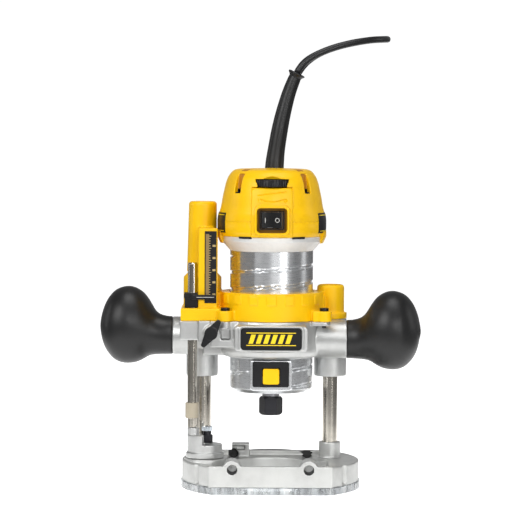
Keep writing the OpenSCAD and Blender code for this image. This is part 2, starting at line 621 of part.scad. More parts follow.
// ---- motor cap ----
// outer profile of the cap, radius at height
cap_z = [[45.4, 221.5], [45.4, 228.4], [43.6, 232], [42.3, 242], [40.1, 253], [37.6, 259], [35, 263], [32.6, 265.2], [29, 266.4], [14, 267.2]];
module cap_profile(o, z0, z1) {
  intersection() {
    rotate_extrude($fn = 120) polygon(concat([[0, 200]], [[42.6 + o, 208.8], [45.4 + o, 212.6]], [for (p = cap_z) [p[0] + o, p[1]]], [[0, 267.4 + o]]));
    translate([0, 0, z0]) cylinder(r = 60, h = z1 - z0);
  }
}
vent_at = [-134.5, -44, 135.5, 44.5];
module cap_inner() { rotate_extrude($fn = 120) polygon([[0, 190], [39.6, 190], [39.6, 210], [42.4, 213], [42.4, 229], [40.4, 233], [39.2, 242], [37, 252], [34.2, 258], [29, 263], [0, 264.4]]); }
module panel_window(g) { translate([-17 - g, -60, 208 - g]) cube([34 + 2 * g, 60 - 26, 41.6 + 2 * g]); }
module motor_cap_lower() {
  color([0.98, 0.76, 0.05]) difference() {
    cap_profile(0, 208.8, 221.5);
    cap_inner();
    panel_window(0);
  }
}
module motor_cap_upper() {
  color([0.98, 0.76, 0.05]) difference() {
    cap_profile(0, 221.5, 268);
    // hollow, with walls left behind the air inlet grooves
    difference() {
      cap_inner();
      for (a = vent_at) rotate(a) translate([32.6, -5.6, 242.6]) cube([9, 11.2, 24]);
    }
    panel_window(0);
    // slot of the speed dial and the thumb scoop above it
    translate([0, -28.6, 249.6]) cylinder(r = 15.5, h = 6.8);
    translate([0, -50, 252]) sphere(r = 14.6);
    // air inlets: grooves, open at the lower end
    for (a = vent_at) rotate(a) {
      translate([0, 3.9, 0]) rotate([90, 0, 0]) linear_extrude(7.8) polygon([[37.2, 244.8], [52, 243.9], [52, 272], [33.9, 272]]);
      translate([30, -3.3, 245.3]) cube([8.6, 6.6, 2.7]);
    }
    // seat of the strain relief
    translate([1.6, 12, 250]) cylinder(r = 8, h = 30);
  }
}
module front_panel() {
  color([0.98, 0.76, 0.05]) difference() {
    intersection() { cap_profile(0.9, 208.8, 249.6); panel_window(-0.05); }
    cap_inner();
    // window of the switch
    plate_xz(0, 222.9, 26.6, 21, 3, -60, 40);
  }
}
module switch_body() {
  color([0.14, 0.14, 0.14]) difference() {
    union() { plate_xz(0, 222.9, 26, 20.4, 2.6, -39.4, 3); plate_xz(0, 222.9, 22, 17, 1.5, -36.5, 18); }
    plate_xz(0, 223, 18.6, 14.2, 1, -45, 15);
    translate([0, -35, 210]) cylinder(r = 1.25, h = 30);
  }
}
module switch_rocker() {
  color([0.08, 0.08, 0.08]) translate([0, -35, 223]) rotate([0, 0, -6]) {
    translate([0, 0, -6.5]) linear_extrude(13) polygon([[-8.3, -5.2], [-8, -6.2], [0, -4.4], [8, -6.2], [8.3, -5.2], [6.5, 0], [2.5, 2.6], [-2.5, 2.6], [-6.5, 0]]);
    translate([0, 0, -8.2]) cylinder(r = 1.2, h = 16.4);
  }
}
module speed_dial() {
  color([0.1, 0.1, 0.1]) translate([0, -28.6, 0]) difference() {
    union() {
      translate([0, 0, 250]) cylinder(r = 14.4, h = 6);
      for (a = [0:12:348]) rotate(a) translate([13.9, -0.8, 250.3]) cube([1.1, 1.6, 5.4]);
      translate([0, 0, 239]) cylinder(r = 2, h = 12);
    }
  }
}
module speed_module() {
  color([0.16, 0.3, 0.18]) difference() { union() {
    translate([-14, -22, 236.4]) cube([28, 30, 1.6]);
    translate([-6, -34, 238]) cube([12, 12, 8.6]);
    translate([-10, -30, 236.4]) cube([20, 9, 1.6]);
    }
    translate([0, -28.6, 230]) cylinder(r = 2.1, h = 30);
  }
}

// ---- strain relief and cord ----
relief = [[1.7, 12, 262], [2.2, 12, 270], [3.4, 12, 280], [5.8, 12, 295], [8.9, 12, 310], [13.2, 12, 326], [17.3, 12, 337.2], [18.8, 12, 340.6]];
relief_r = [7.9, 7.7, 7.2, 6.9, 6.4, 5.8, 5.4, 5.3];
cord_exit = [20.2, 12, 343.6];
exit_dir = [cos(64), 0, sin(64)];
// route of the cord: out of the relief, over and back, down behind the machine to the coil
route = concat([cord_exit, cord_exit + 2 * exit_dir, cord_exit + 4 * exit_dir], [
  [25.2, 12.3, 351.6], [29.8, 13, 355.5], [36, 14, 358.9], [45.2, 16, 363], [56.6, 19.5, 366.8], [70.4, 25, 370],
  [83.5, 33.2, 372.2], [93, 45, 373], [97.5, 59.5, 373.6], [94.8, 75, 373.9], [85.5, 86.5, 373.8], [72.2, 92.5, 372.1],
  [58.6, 93.6, 368.9], [46.8, 92.6, 364.9], [38, 91, 360.6], [31.2, 89.6, 355.9], [26, 88.3, 350.6], [21.4, 87, 343.6],
  [17.9, 86, 336.5], [13.7, 84.6, 326], [9.3, 83.3, 310.1], [6, 82.4, 294.6], [3.8, 82, 279.1], [3, 82, 262], [4, 83, 245],
  [6.6, 86, 227], [10.8, 91.5, 209], [16.2, 100, 192.5], [22.4, 110.5, 177], [28.8, 120.5, 161.5], [35.2, 128.6, 144.5],
  [41.4, 134.4, 125], [46.8, 137.4, 103], [50.6, 138.2, 79], [52.3, 137, 54], [52.8, 131, 31.5], [52.5, 120, 14],
  [51.2, 106, 5.2], [47.2, 92.6, 3], [39, 80.7, 3], [28.5, 71.8, 3]]);
// from the coil's upper layer to the plug
tail = [[-13, 71.3, 8.7], [-24, 74.6, 8.7], [-36, 79.6, 8.6], [-46.5, 86, 8.2], [-55, 94, 7.6], [-60.3, 103, 7.2], [-62, 112.5, 7], [-62, 118, 7]];
coil_at = [0, 108];
module strain_relief() {
  color([0.1, 0.1, 0.1]) {
    sweep(concat(relief, [cord_exit - 1 * exit_dir, cord_exit]), concat(relief_r, [7.2, 7]), 16);
  }
}
module cord_lead() {
  color([0.14, 0.14, 0.14]) {
    sweep(curve(route, 2), [for (i = [0:(len(route) - 1) * 2]) cord_d / 2], 8);
    sweep(tail, [for (i = tail) cord_d / 2], 8);
  }
}
module cord_coil() { color([0.14, 0.14, 0.14]) translate([coil_at[0], coil_at[1], 0]) rotate_extrude() translate([20, 0]) square([29, 11.6]); }
module supply_plug() {
  color([0.13, 0.13, 0.13]) {
    difference() {
      union() {
        translate([-62, 118, 7]) rotate([-90, 0, 0]) cylinder(r1 = 4.4, r2 = 5.6, h = 9);
        translate([-62, 144, 7]) rotate([90, 0, 0]) linear_extrude(18) polygon(rrp(23, 13, 3));
        for (s = [-1, 1]) translate([-62 + s * 6.35 - 0.75, 143.9, 3.85]) cube([1.5, 16, 6.3]);
      }
    }
  }
}

sub_base();
sub_base_screws();
base_casting();
left_column();
right_column();
column_set_screws();
column_stop_rings();
plunge_spring();
detent_ball();
turret();
turret_stop_bolt();
turret_jam_nut();
turret_screw();
carriage_casting();
column_bushings();
handle_studs();
left_handle();
right_handle();
nameplate();
carriage_cover();
cover_screws();
scale_plate();
depth_rod();
depth_rod_ferrule();
depth_pointer();
depth_lock_knob();
plunge_lock_lever();
plunge_lock_screw();
clamp_bolt();
clamp_lever();
clamp_pin();
motor_housing();
motor_collar();
lock_panel();
lock_button();
lock_spring();
lower_bearing();
upper_bearing();
bearing_carriers();
stator();
field_coils();
brush_holders();
brushes();
spindle();
armature();
commutator();
fan();
collet();
collet_nut();
motor_cap_lower();
motor_cap_upper();
front_panel();
switch_body();
switch_rocker();
speed_dial();
speed_module();
strain_relief();
cord_lead();
cord_coil();
supply_plug();
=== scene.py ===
import math
import json

import bpy
import bmesh
import numpy as np
from mathutils import Vector, Matrix
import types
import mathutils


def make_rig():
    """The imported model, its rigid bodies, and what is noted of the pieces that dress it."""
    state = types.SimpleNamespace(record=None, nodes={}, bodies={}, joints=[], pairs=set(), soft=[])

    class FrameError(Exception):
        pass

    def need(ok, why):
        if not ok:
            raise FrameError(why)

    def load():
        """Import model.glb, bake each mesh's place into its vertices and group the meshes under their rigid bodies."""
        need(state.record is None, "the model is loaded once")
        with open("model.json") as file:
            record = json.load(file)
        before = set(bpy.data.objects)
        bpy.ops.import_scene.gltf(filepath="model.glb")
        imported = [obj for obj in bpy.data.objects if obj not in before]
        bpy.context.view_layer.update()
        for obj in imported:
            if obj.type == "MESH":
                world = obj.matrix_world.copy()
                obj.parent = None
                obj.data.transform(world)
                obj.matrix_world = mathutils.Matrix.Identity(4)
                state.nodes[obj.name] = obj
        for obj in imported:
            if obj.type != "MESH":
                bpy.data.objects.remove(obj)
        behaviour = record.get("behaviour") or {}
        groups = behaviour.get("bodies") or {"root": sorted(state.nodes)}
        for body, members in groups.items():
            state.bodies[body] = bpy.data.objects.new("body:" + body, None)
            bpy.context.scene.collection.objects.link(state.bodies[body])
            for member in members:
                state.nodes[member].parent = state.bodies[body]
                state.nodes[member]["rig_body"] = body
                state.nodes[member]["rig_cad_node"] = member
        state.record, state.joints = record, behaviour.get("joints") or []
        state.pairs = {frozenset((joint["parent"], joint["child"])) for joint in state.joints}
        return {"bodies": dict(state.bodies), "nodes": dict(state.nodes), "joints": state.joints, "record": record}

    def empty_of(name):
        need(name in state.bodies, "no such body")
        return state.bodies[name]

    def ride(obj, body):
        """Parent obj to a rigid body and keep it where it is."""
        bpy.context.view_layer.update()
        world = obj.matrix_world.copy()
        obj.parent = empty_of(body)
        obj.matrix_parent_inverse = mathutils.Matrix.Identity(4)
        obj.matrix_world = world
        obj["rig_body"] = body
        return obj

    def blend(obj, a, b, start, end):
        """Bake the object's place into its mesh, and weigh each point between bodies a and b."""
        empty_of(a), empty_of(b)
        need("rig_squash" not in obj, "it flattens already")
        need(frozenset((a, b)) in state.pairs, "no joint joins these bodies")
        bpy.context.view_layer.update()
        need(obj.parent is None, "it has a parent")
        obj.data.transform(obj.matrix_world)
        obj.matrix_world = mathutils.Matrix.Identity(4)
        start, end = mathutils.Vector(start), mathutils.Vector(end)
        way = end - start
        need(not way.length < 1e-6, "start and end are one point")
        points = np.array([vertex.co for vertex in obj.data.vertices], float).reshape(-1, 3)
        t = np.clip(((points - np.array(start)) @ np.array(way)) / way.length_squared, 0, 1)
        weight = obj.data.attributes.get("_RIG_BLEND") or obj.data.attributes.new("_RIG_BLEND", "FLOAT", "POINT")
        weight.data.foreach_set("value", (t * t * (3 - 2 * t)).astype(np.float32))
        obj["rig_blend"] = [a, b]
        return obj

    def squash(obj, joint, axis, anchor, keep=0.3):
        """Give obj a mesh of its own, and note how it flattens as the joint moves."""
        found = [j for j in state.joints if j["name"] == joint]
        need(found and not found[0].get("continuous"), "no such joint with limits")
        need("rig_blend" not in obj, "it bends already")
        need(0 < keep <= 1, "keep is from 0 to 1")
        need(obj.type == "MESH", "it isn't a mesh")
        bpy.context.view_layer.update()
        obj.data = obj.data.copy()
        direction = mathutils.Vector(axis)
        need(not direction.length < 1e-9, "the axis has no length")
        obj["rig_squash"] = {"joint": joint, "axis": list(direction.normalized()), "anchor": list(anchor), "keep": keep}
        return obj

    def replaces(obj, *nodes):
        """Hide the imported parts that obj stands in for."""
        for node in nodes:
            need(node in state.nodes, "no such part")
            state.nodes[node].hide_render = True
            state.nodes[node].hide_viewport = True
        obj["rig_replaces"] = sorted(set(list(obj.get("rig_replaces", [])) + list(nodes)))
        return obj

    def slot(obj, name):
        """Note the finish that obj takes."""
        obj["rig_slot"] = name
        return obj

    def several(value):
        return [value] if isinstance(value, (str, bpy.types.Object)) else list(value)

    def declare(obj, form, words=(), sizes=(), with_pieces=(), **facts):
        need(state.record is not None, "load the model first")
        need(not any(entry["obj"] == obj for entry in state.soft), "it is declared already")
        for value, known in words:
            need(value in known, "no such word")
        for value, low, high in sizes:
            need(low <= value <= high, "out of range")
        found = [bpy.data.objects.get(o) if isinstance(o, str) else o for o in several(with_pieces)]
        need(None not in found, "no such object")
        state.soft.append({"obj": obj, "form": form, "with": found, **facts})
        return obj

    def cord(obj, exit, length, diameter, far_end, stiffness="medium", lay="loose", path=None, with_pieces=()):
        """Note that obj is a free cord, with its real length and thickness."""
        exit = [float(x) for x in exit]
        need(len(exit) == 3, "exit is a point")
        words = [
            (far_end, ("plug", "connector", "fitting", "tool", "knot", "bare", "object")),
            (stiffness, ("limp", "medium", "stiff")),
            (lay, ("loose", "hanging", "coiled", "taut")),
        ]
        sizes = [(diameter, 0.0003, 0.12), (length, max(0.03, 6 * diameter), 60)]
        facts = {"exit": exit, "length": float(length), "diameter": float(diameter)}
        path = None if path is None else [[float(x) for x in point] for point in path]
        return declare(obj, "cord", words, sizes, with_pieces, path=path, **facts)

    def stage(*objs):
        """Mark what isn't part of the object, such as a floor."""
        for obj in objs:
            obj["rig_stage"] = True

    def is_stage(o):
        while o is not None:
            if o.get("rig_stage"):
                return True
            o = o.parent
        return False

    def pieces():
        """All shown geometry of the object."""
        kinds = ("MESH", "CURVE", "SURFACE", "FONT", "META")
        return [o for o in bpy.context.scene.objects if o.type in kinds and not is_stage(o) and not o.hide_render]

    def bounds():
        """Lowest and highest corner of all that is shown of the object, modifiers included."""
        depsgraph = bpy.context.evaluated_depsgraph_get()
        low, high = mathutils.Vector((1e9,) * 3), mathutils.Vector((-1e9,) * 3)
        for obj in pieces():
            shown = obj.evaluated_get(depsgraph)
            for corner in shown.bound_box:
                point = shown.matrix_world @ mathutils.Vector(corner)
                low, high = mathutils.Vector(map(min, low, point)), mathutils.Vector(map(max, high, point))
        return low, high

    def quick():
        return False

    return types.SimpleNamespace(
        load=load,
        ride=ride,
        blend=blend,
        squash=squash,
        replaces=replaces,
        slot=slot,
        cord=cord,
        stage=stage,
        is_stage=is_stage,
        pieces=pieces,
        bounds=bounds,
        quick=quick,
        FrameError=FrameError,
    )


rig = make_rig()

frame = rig.load()
N = frame["nodes"]
cad_box = [list(v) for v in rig.bounds()]
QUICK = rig.quick()
MM = 0.001
sc = bpy.context.scene
sc.view_settings.view_transform = "Standard"

# ------------------------------------------------------------------ camera
D = 2.1
cam_data = bpy.data.cameras.new("cam")
cam = bpy.data.objects.new("cam", cam_data)
sc.collection.objects.link(cam)
sc.camera = cam
cam_data.sensor_width = 36.0
cam_data.lens = 171.6
cam_data.clip_start = 0.05
cam_data.clip_end = 50
target = Vector((-0.0055, 0.0, 0.1842))
cam.location = Vector((-0.0055, -2.0964, 0.3067))
q = (target - cam.location).to_track_quat("-Z", "Y")
cam.rotation_mode = "QUATERNION"
cam.rotation_quaternion = q @ Matrix.Rotation(math.radians(0.35), 4, "Z").to_quaternion()


# ------------------------------------------------------------------ mesh helpers
def make(name, verts, faces, mat=None, smooth=True, scale=MM):
    me = bpy.data.meshes.new(name)
    me.from_pydata([tuple(np.array(v, float) * scale) for v in verts], [], [tuple(int(i) for i in f) for f in faces])
    me.validate()
    me.update()
    o = bpy.data.objects.new(name, me)
    sc.collection.objects.link(o)
    if mat is not None:
        me.materials.append(mat)
    if smooth:
        me.polygons.foreach_set("use_smooth", [True] * len(me.polygons))
    return o


def tube_mesh(path, radii, n=20, cap=True):
    """Rings along path with parallel-transported frames; radii per point."""
    P = np.array(path, float)
    m = len(P)
    T = np.zeros_like(P)
    T[1:-1] = P[2:] - P[:-2]
    T[0] = P[1] - P[0]
    T[-1] = P[-1] - P[-2]
    T /= np.linalg.norm(T, axis=1)[:, None]
    a = np.cross(T[0], [0, 0, 1.0] if abs(T[0][2]) < 0.9 else [0, 1.0, 0])
    a /= np.linalg.norm(a)
    verts = []
    ang = np.linspace(0, 2 * math.pi, n, endpoint=False)
    for i in range(m):
        a = a - np.dot(a, T[i]) * T[i]
        a /= np.linalg.norm(a)
        b = np.cross(T[i], a)
        for t in ang:
            verts.append(P[i] + radii[i] * (math.cos(t) * a + math.sin(t) * b))
    faces = []
    for i in range(m - 1):
        for j in range(n):
            k = (j + 1) % n
            faces.append((i * n + j, i * n + k, (i + 1) * n + k, (i + 1) * n + j))
    if cap:
        faces.append(tuple(range(n - 1, -1, -1)))
        faces.append(tuple((m - 1) * n + j for j in range(n)))
    return verts, faces


def catmull(c, k):
    c = [np.array(p, float) for p in c]
    out = []
    for i in range(len(c) - 1):
        a = 2 * c[0] - c[1] if i == 0 else c[i - 1]
        d = 2 * c[-1] - c[-2] if i + 2 > len(c) - 1 else c[i + 2]
        b, e = c[i], c[i + 1]
        for j in range(k):
            u = j / k
            out.append(0.5 * (2 * b + (e - a) * u + (2 * a - 5 * b + 4 * e - d) * u * u + (3 * b - a - 3 * e + d) * u ** 3))
    out.append(c[-1])
    return out


def length(p):
    p = np.array(p, float)
    return float(np.linalg.norm(np.diff(p, axis=0), axis=1).sum())


def cad_bm(*nodes):
    bm = bmesh.new()
    for n in nodes:
        bm.from_mesh(N[n].data)
    bmesh.ops.remove_doubles(bm, verts=bm.verts, dist=3e-6)
    return bm


def finish_bm(bm, name, mats, sharp=None, weighted=False):
    me = bpy.data.meshes.new(name)
    bm.to_mesh(me)
    bm.free()
    o = bpy.data.objects.new(name, me)
    sc.collection.objects.link(o)
    for m in mats if isinstance(mats, (list, tuple)) else [mats]:
        me.materials.append(m)
    me.polygons.foreach_set("use_smooth", [True] * len(me.polygons))
    me.polygons.foreach_set("material_index", [0] * len(me.polygons))
    if sharp is not None:
        me.set_sharp_from_angle(angle=math.radians(sharp))
    if weighted:
        w = o.modifiers.new("wn", "WEIGHTED_NORMAL")
        w.keep_sharp = True
        w.weight = 80
    return o


def evaluated(o, name=None):
    dg = bpy.context.evaluated_depsgraph_get()
    me = bpy.data.meshes.new_from_object(o.evaluated_get(dg), depsgraph=dg)
    o.modifiers.clear()
    o.data = me
    return o


def refine(node, mat, w=0.3, seg=2, angle=30, name=None):
    """A bevelled copy of a CAD node, edges rounded to w mm."""
    bm = cad_bm(node)
    bmesh.ops.dissolve_limit(bm, angle_limit=math.radians(0.6), verts=bm.verts, edges=bm.edges)
    edges = [e for e in bm.edges if len(e.link_faces) == 2 and e.calc_face_angle(0) > math.radians(angle)]
    if edges and w > 0:
        bmesh.ops.bevel(bm, geom=edges, offset=w * MM, offset_type="OFFSET", segments=seg, profile=0.5, affect="EDGES", clamp_overlap=True)
    bmesh.ops.triangulate(bm, faces=[f for f in bm.faces if len(f.verts) > 4])
    o = finish_bm(bm, name or node + "_body", mat, sharp=38, weighted=True)
    evaluated(o)
    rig.ride(o, NODE_BODY[node])
    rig.replaces(o, node)
    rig.slot(o, SLOT[node])
    return o


def soften(nodes, mat, voxel=0.55, it=8, name=None, project=None, keep=0.4, post=None):
    """A remeshed copy of CAD nodes with moulded or cast fillets; project moves the points onto the true surface."""
    nodes = [nodes] if isinstance(nodes, str) else nodes
    bm = cad_bm(*nodes)
    o = finish_bm(bm, name or nodes[0] + "_body", mat)
    r = o.modifiers.new("r", "REMESH")
    r.mode = "VOXEL"
    r.voxel_size = (voxel * (2.0 if QUICK else 1.0)) * MM
    r.adaptivity = 0
    s = o.modifiers.new("s", "SMOOTH")
    s.factor = 0.5
    s.iterations = it if not QUICK else max(2, it // 3)
    evaluated(o)
    if project is not None:
        me = o.data
        co = np.zeros(len(me.vertices) * 3)
        me.vertices.foreach_get("co", co)
        co = project(co.reshape(-1, 3) / MM) * MM
        me.vertices.foreach_set("co", co.ravel())
        me.update()
    if keep < 1:
        d = o.modifiers.new("d", "DECIMATE")
        d.ratio = keep
        evaluated(o)
    o.data.polygons.foreach_set("use_smooth", [True] * len(o.data.polygons))
    if not o.data.materials:
        o.data.materials.append(mat)
    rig.ride(o, NODE_BODY[nodes[0]])
    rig.replaces(o, *nodes)
    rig.slot(o, SLOT[nodes[0]])
    return o


def paint(o, rule, mat):
    """Give the faces that rule picks (on face centres in mm) another material."""
    me = o.data
    me.materials.append(mat)
    k_ = len(me.materials) - 1
    c = np.zeros(len(me.polygons) * 3)
    me.polygons.foreach_get("center", c)
    pick = rule(c.reshape(-1, 3) / MM)
    mi = np.zeros(len(me.polygons), dtype=np.int32)
    me.polygons.foreach_get("material_index", mi)
    mi[pick] = k_
    me.polygons.foreach_set("material_index", mi)
    me.update()


REC = frame["record"]
NODE_BODY = {n: b for b, ns in REC["behaviour"]["bodies"].items() for n in ns}
SLOT = {s["node"]: s["material_slot"] for s in REC["subparts"]}


# ------------------------------------------------------------------ materials
def new_mat(name):
    m = bpy.data.materials.new(name)
    m.use_nodes = True
    nt = m.node_tree
    b = nt.nodes["Principled BSDF"]
    return m, nt, b


def nd(nt, kind, **kw):
    n = nt.nodes.new(kind)
    for k, v in kw.items():
        if k in n.inputs:
            n.inputs[k].default_value = v
        else:
            setattr(n, k, v)
    return n


def coords(nt, scale=(1, 1, 1)):
    tc = nt.nodes.new("ShaderNodeTexCoord")
    mp = nt.nodes.new("ShaderNodeMapping")
    mp.inputs["Scale"].default_value = scale
    nt.links.new(tc.outputs["Object"], mp.inputs["Vector"])
    return mp.outputs["Vector"]


def noise(nt, vec, scale, detail=3.0, rough=0.5):
    n = nt.nodes.new("ShaderNodeTexNoise")
    n.inputs["Scale"].default_value = scale
    n.inputs["Detail"].default_value = detail
    n.inputs["Roughness"].default_value = rough
    nt.links.new(vec, n.inputs["Vector"])
    return n.outputs["Fac"]


def ramp(nt, fac, stops):
    r = nt.nodes.new("ShaderNodeValToRGB")
    cr = r.color_ramp
    while len(cr.elements) < len(stops):
        cr.elements.new(0.5)
    for e, (p, c) in zip(cr.elements, stops):
        e.position = p
        e.color = tuple(c) + (1,) if len(c) == 3 else c
    nt.links.new(fac, r.inputs["Fac"])
    return r.outputs["Color"]


def rng(nt, fac, lo, hi, a=0.0, b=1.0):
    r = nt.nodes.new("ShaderNodeMapRange")
    r.inputs["From Min"].default_value = a
    r.inputs["From Max"].default_value = b
    r.inputs["To Min"].default_value = lo
    r.inputs["To Max"].default_value = hi
    nt.links.new(fac, r.inputs["Value"])
    return r.outputs["Result"]


def bump(nt, b, fac, strength, dist, prev=None):
    bp = nt.nodes.new("ShaderNodeBump")
    bp.inputs["Strength"].default_value = strength
    bp.inputs["Distance"].default_value = dist
    nt.links.new(fac, bp.inputs["Height"])
    if prev is not None:
        nt.links.new(prev, bp.inputs["Normal"])
    nt.links.new(bp.outputs["Normal"], b.inputs["Normal"])
    return bp.outputs["Normal"]


def shade(c, k):
    return tuple(min(1.0, x * k) for x in c)


def plastic(name, col, rough, grain=2600, depth=0.00005, strength=0.25, vary=0.06, coat=0.0, rvary=0.06, spec=0.5):
    """Moulded plastic: fine spark texture, slow colour drift, slightly uneven gloss."""
    m, nt, b = new_mat(name)
    v = coords(nt)
    slow = noise(nt, v, 38, 3)
    nt.links.new(ramp(nt, slow, [(0.3, shade(col, 1 - vary)), (0.7, shade(col, 1 + vary * 0.5))]), b.inputs["Base Color"])
    fine = noise(nt, v, grain, 2)
    nt.links.new(rng(nt, noise(nt, v, 90, 4), rough - rvary, rough + rvary), b.inputs["Roughness"])
    bump(nt, b, fine, strength, depth)
    b.inputs["Specular IOR Level"].default_value = spec
    b.inputs["Coat Weight"].default_value = coat
    b.inputs["Coat Roughness"].default_value = 0.12
    return m


def cast_metal(name, col, rough, grain=1500, strength=0.3, metallic=1.0, pits=True):
    """Die-cast alloy, blasted satin: fine grain, faint blotches, small darker pits."""
    m, nt, b = new_mat(name)
    v = coords(nt)
    blot = noise(nt, v, 55, 5, 0.6)
    nt.links.new(ramp(nt, blot, [(0.3, shade(col, 0.86)), (0.55, col), (0.75, shade(col, 1.06))]), b.inputs["Base Color"])
    b.inputs["Metallic"].default_value = metallic
    nt.links.new(rng(nt, noise(nt, v, 240, 4), rough - 0.06, rough + 0.08), b.inputs["Roughness"])
    n1 = bump(nt, b, noise(nt, v, grain, 3), strength, 0.00006)
    if pits:
        bump(nt, b, noise(nt, v, 320, 2), strength * 0.5, 0.00012, n1)
    return m


def turned(name, col, rough, axis="Z", fine=5200, strength=0.05, vary=0.08):
    """Turned or ground metal: fine lay round the axis, faint tone bands."""
    m, nt, b = new_mat(name)
    sc3 = {"Z": (1, 1, 60), "Y": (1, 60, 1), "X": (60, 1, 1)}[axis]
    v = coords(nt, sc3)
    lay = noise(nt, v, fine / 60, 3, 0.6)
    v2 = coords(nt, tuple(1 if s == 1 else 6 for s in sc3))
    band = noise(nt, v2, 30, 3)
    nt.links.new(ramp(nt, band, [(0.3, shade(col, 1 - vary)), (0.7, shade(col, 1 + vary * 0.4))]), b.inputs["Base Color"])
    b.inputs["Metallic"].default_value = 1.0
    nt.links.new(rng(nt, lay, rough - 0.05, rough + 0.08), b.inputs["Roughness"])
    bump(nt, b, lay, strength, 0.000012)
    return m


def rubber(name, col, rough, grain=3000, strength=0.35, sheen=0.25):
    m, nt, b = new_mat(name)
    v = coords(nt)
    cloud = noise(nt, v, 26, 4, 0.55)
    nt.links.new(ramp(nt, cloud, [(0.3, shade(col, 0.8)), (0.7, shade(col, 1.25))]), b.inputs["Base Color"])
    nt.links.new(rng(nt, noise(nt, v, 60, 4), rough - 0.06, rough + 0.08), b.inputs["Roughness"])
    bump(nt, b, noise(nt, v, grain, 2), strength, 0.00005)
    b.inputs["Sheen Weight"].default_value = sheen
    b.inputs["Sheen Roughness"].default_value = 0.45
    b.inputs["Specular IOR Level"].default_value = 0.45
    return m


YEL = (0.95, 0.55, 0.0015)
M = {}
M["yellow"] = plastic("yellow_moulding", YEL, 0.38, grain=2400, strength=0.16, vary=0.05, spec=0.28)
# painted shade: a darker orange-brown yellow laid on the vent groove faces of the cap
M["yellow_painted_shade"] = plastic("yellow_painted_shade", (0.50, 0.20, 0.004), 0.5, vary=0.1)
# painted highlight: grey for the thin strips that stand in for lit bevel edges round the rocker
M["rim_painted_highlight"] = plastic("rim_painted_highlight", (0.16, 0.16, 0.16), 0.3)
M["brown_shade"] = plastic("recess_painted_shade", (0.20, 0.095, 0.012), 0.34, vary=0.15)
M["bore_dark"] = plastic("bore_shadow", (0.012, 0.012, 0.011), 0.55)
M["yellow_mark"] = plastic("yellow_mark", (0.92, 0.66, 0.01), 0.4, vary=0.03)
M["tan_mark"] = plastic("tan_mark", (0.26, 0.17, 0.06), 0.45, vary=0.05)
M["tan_light"] = plastic("tan_light", (0.46, 0.34, 0.14), 0.45, vary=0.05)
M["pale_mark"] = plastic("pale_mark", (0.62, 0.62, 0.6), 0.45, vary=0.03)
M["black"] = plastic("black_moulding", (0.009, 0.009, 0.010), 0.38, grain=1900, strength=0.3, vary=0.2, spec=0.3)
M["black_gloss"] = plastic("black_gloss", (0.010, 0.010, 0.011), 0.24, grain=1500, strength=0.05, vary=0.2)
M["cap_grey"] = cast_metal("collar_alloy", (0.78, 0.78, 0.77), 0.5, grain=1300, strength=0.2, metallic=0.35)
M["cast"] = cast_metal("cast_alloy_satin", (0.56, 0.565, 0.555), 0.40, metallic=0.8)
M["cast_base"] = cast_metal("cast_alloy_base", (0.55, 0.555, 0.54), 0.42, metallic=0.7)
M["turned"] = turned("turned_alloy_bright", (0.86, 0.875, 0.89), 0.27, vary=0.03)
M["steel"] = turned("column_steel_ground", (0.60, 0.565, 0.50), 0.16, vary=0.08)
M["steel_dark"] = turned("blackened_steel", (0.045, 0.045, 0.05), 0.36)
M["zinc"] = turned("zinc_plate", (0.66, 0.72, 0.77), 0.2, vary=0.1)
M["spring"] = turned("spring_wire", (0.38, 0.38, 0.4), 0.3)
M["rubber"] = rubber("soft_grip_rubber", (0.006, 0.006, 0.0062), 0.4, sheen=0.02)
M["rubber_cord"] = rubber("cord_sheath", (0.010, 0.010, 0.011), 0.38, grain=2200, strength=0.2, sheen=0.02)
M["ferrule"] = plastic("ferrule_acetal", (0.42, 0.37, 0.28), 0.38, vary=0.08)
M["brass"] = turned("bronze_bush", (0.62, 0.42, 0.2), 0.34)
M["copper"] = turned("copper_winding", (0.62, 0.30, 0.16), 0.36, fine=9000, strength=0.4)
M["core"] = turned("laminated_core", (0.30, 0.30, 0.32), 0.42, fine=12000, strength=0.4)
M["carbon"] = plastic("carbon_block", (0.03, 0.03, 0.03), 0.6)
M["board"] = plastic("coated_board", (0.02, 0.12, 0.05), 0.4)
M["brass_pin"] = turned("blade_brass", (0.72, 0.62, 0.40), 0.28, axis="Y")


def clear_plate():
    m, nt, b = new_mat("clear_acrylic")
    v = coords(nt, (1, 1, 0.15))
    # painted shade: dark vertical streaks in the base colour stand in for shade seen through the plate
    seen_through_shade = noise(nt, v, 85, 4, 0.6)
    nt.links.new(ramp(nt, seen_through_shade, [(0.36, (0.42, 0.44, 0.46)), (0.5, (0.80, 0.84, 0.86)), (0.62, (0.97, 0.98, 0.99))]), b.inputs["Base Color"])
    nt.links.new(rng(nt, noise(nt, v, 210, 4, 0.6), 0.45, 0.95, 0.35, 0.65), b.inputs["Transmission Weight"])
    b.inputs["IOR"].default_value = 1.49
    nt.links.new(rng(nt, noise(nt, v, 130, 5, 0.65), 0.04, 0.2), b.inputs["Roughness"])
    bump(nt, b, noise(nt, coords(nt, (1, 1, 0.3)), 260, 3), 0.2, 0.0001)
    return m


M["clear"] = clear_plate()

SLOT_MAT = {
    "clear_plate": "clear", "screw_steel": "steel_dark", "cast_alloy": "cast", "column_steel": "steel",
    "spring_steel": "spring", "bearing_steel": "zinc", "zinc_plated": "zinc", "black_steel": "steel_dark",
    "bush_bronze": "brass", "grip_rubber": "rubber", "black_plastic": "black", "yellow_plastic": "yellow",
    "ferrule_resin": "ferrule", "turned_alloy": "turned", "core_steel": "core", "copper": "copper",
    "carbon": "carbon", "collet_steel": "steel", "circuit_board": "board", "cord_rubber": "rubber_cord",
}
for n, o in N.items():
    o.data.materials.clear()
    o.data.materials.append(M[SLOT_MAT[SLOT[n]]])


def ridebody(o, body, slot=None, rep=()):
    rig.ride(o, body)
    if rep:
        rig.replaces(o, *rep)
    if slot:
        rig.slot(o, slot)
    return o


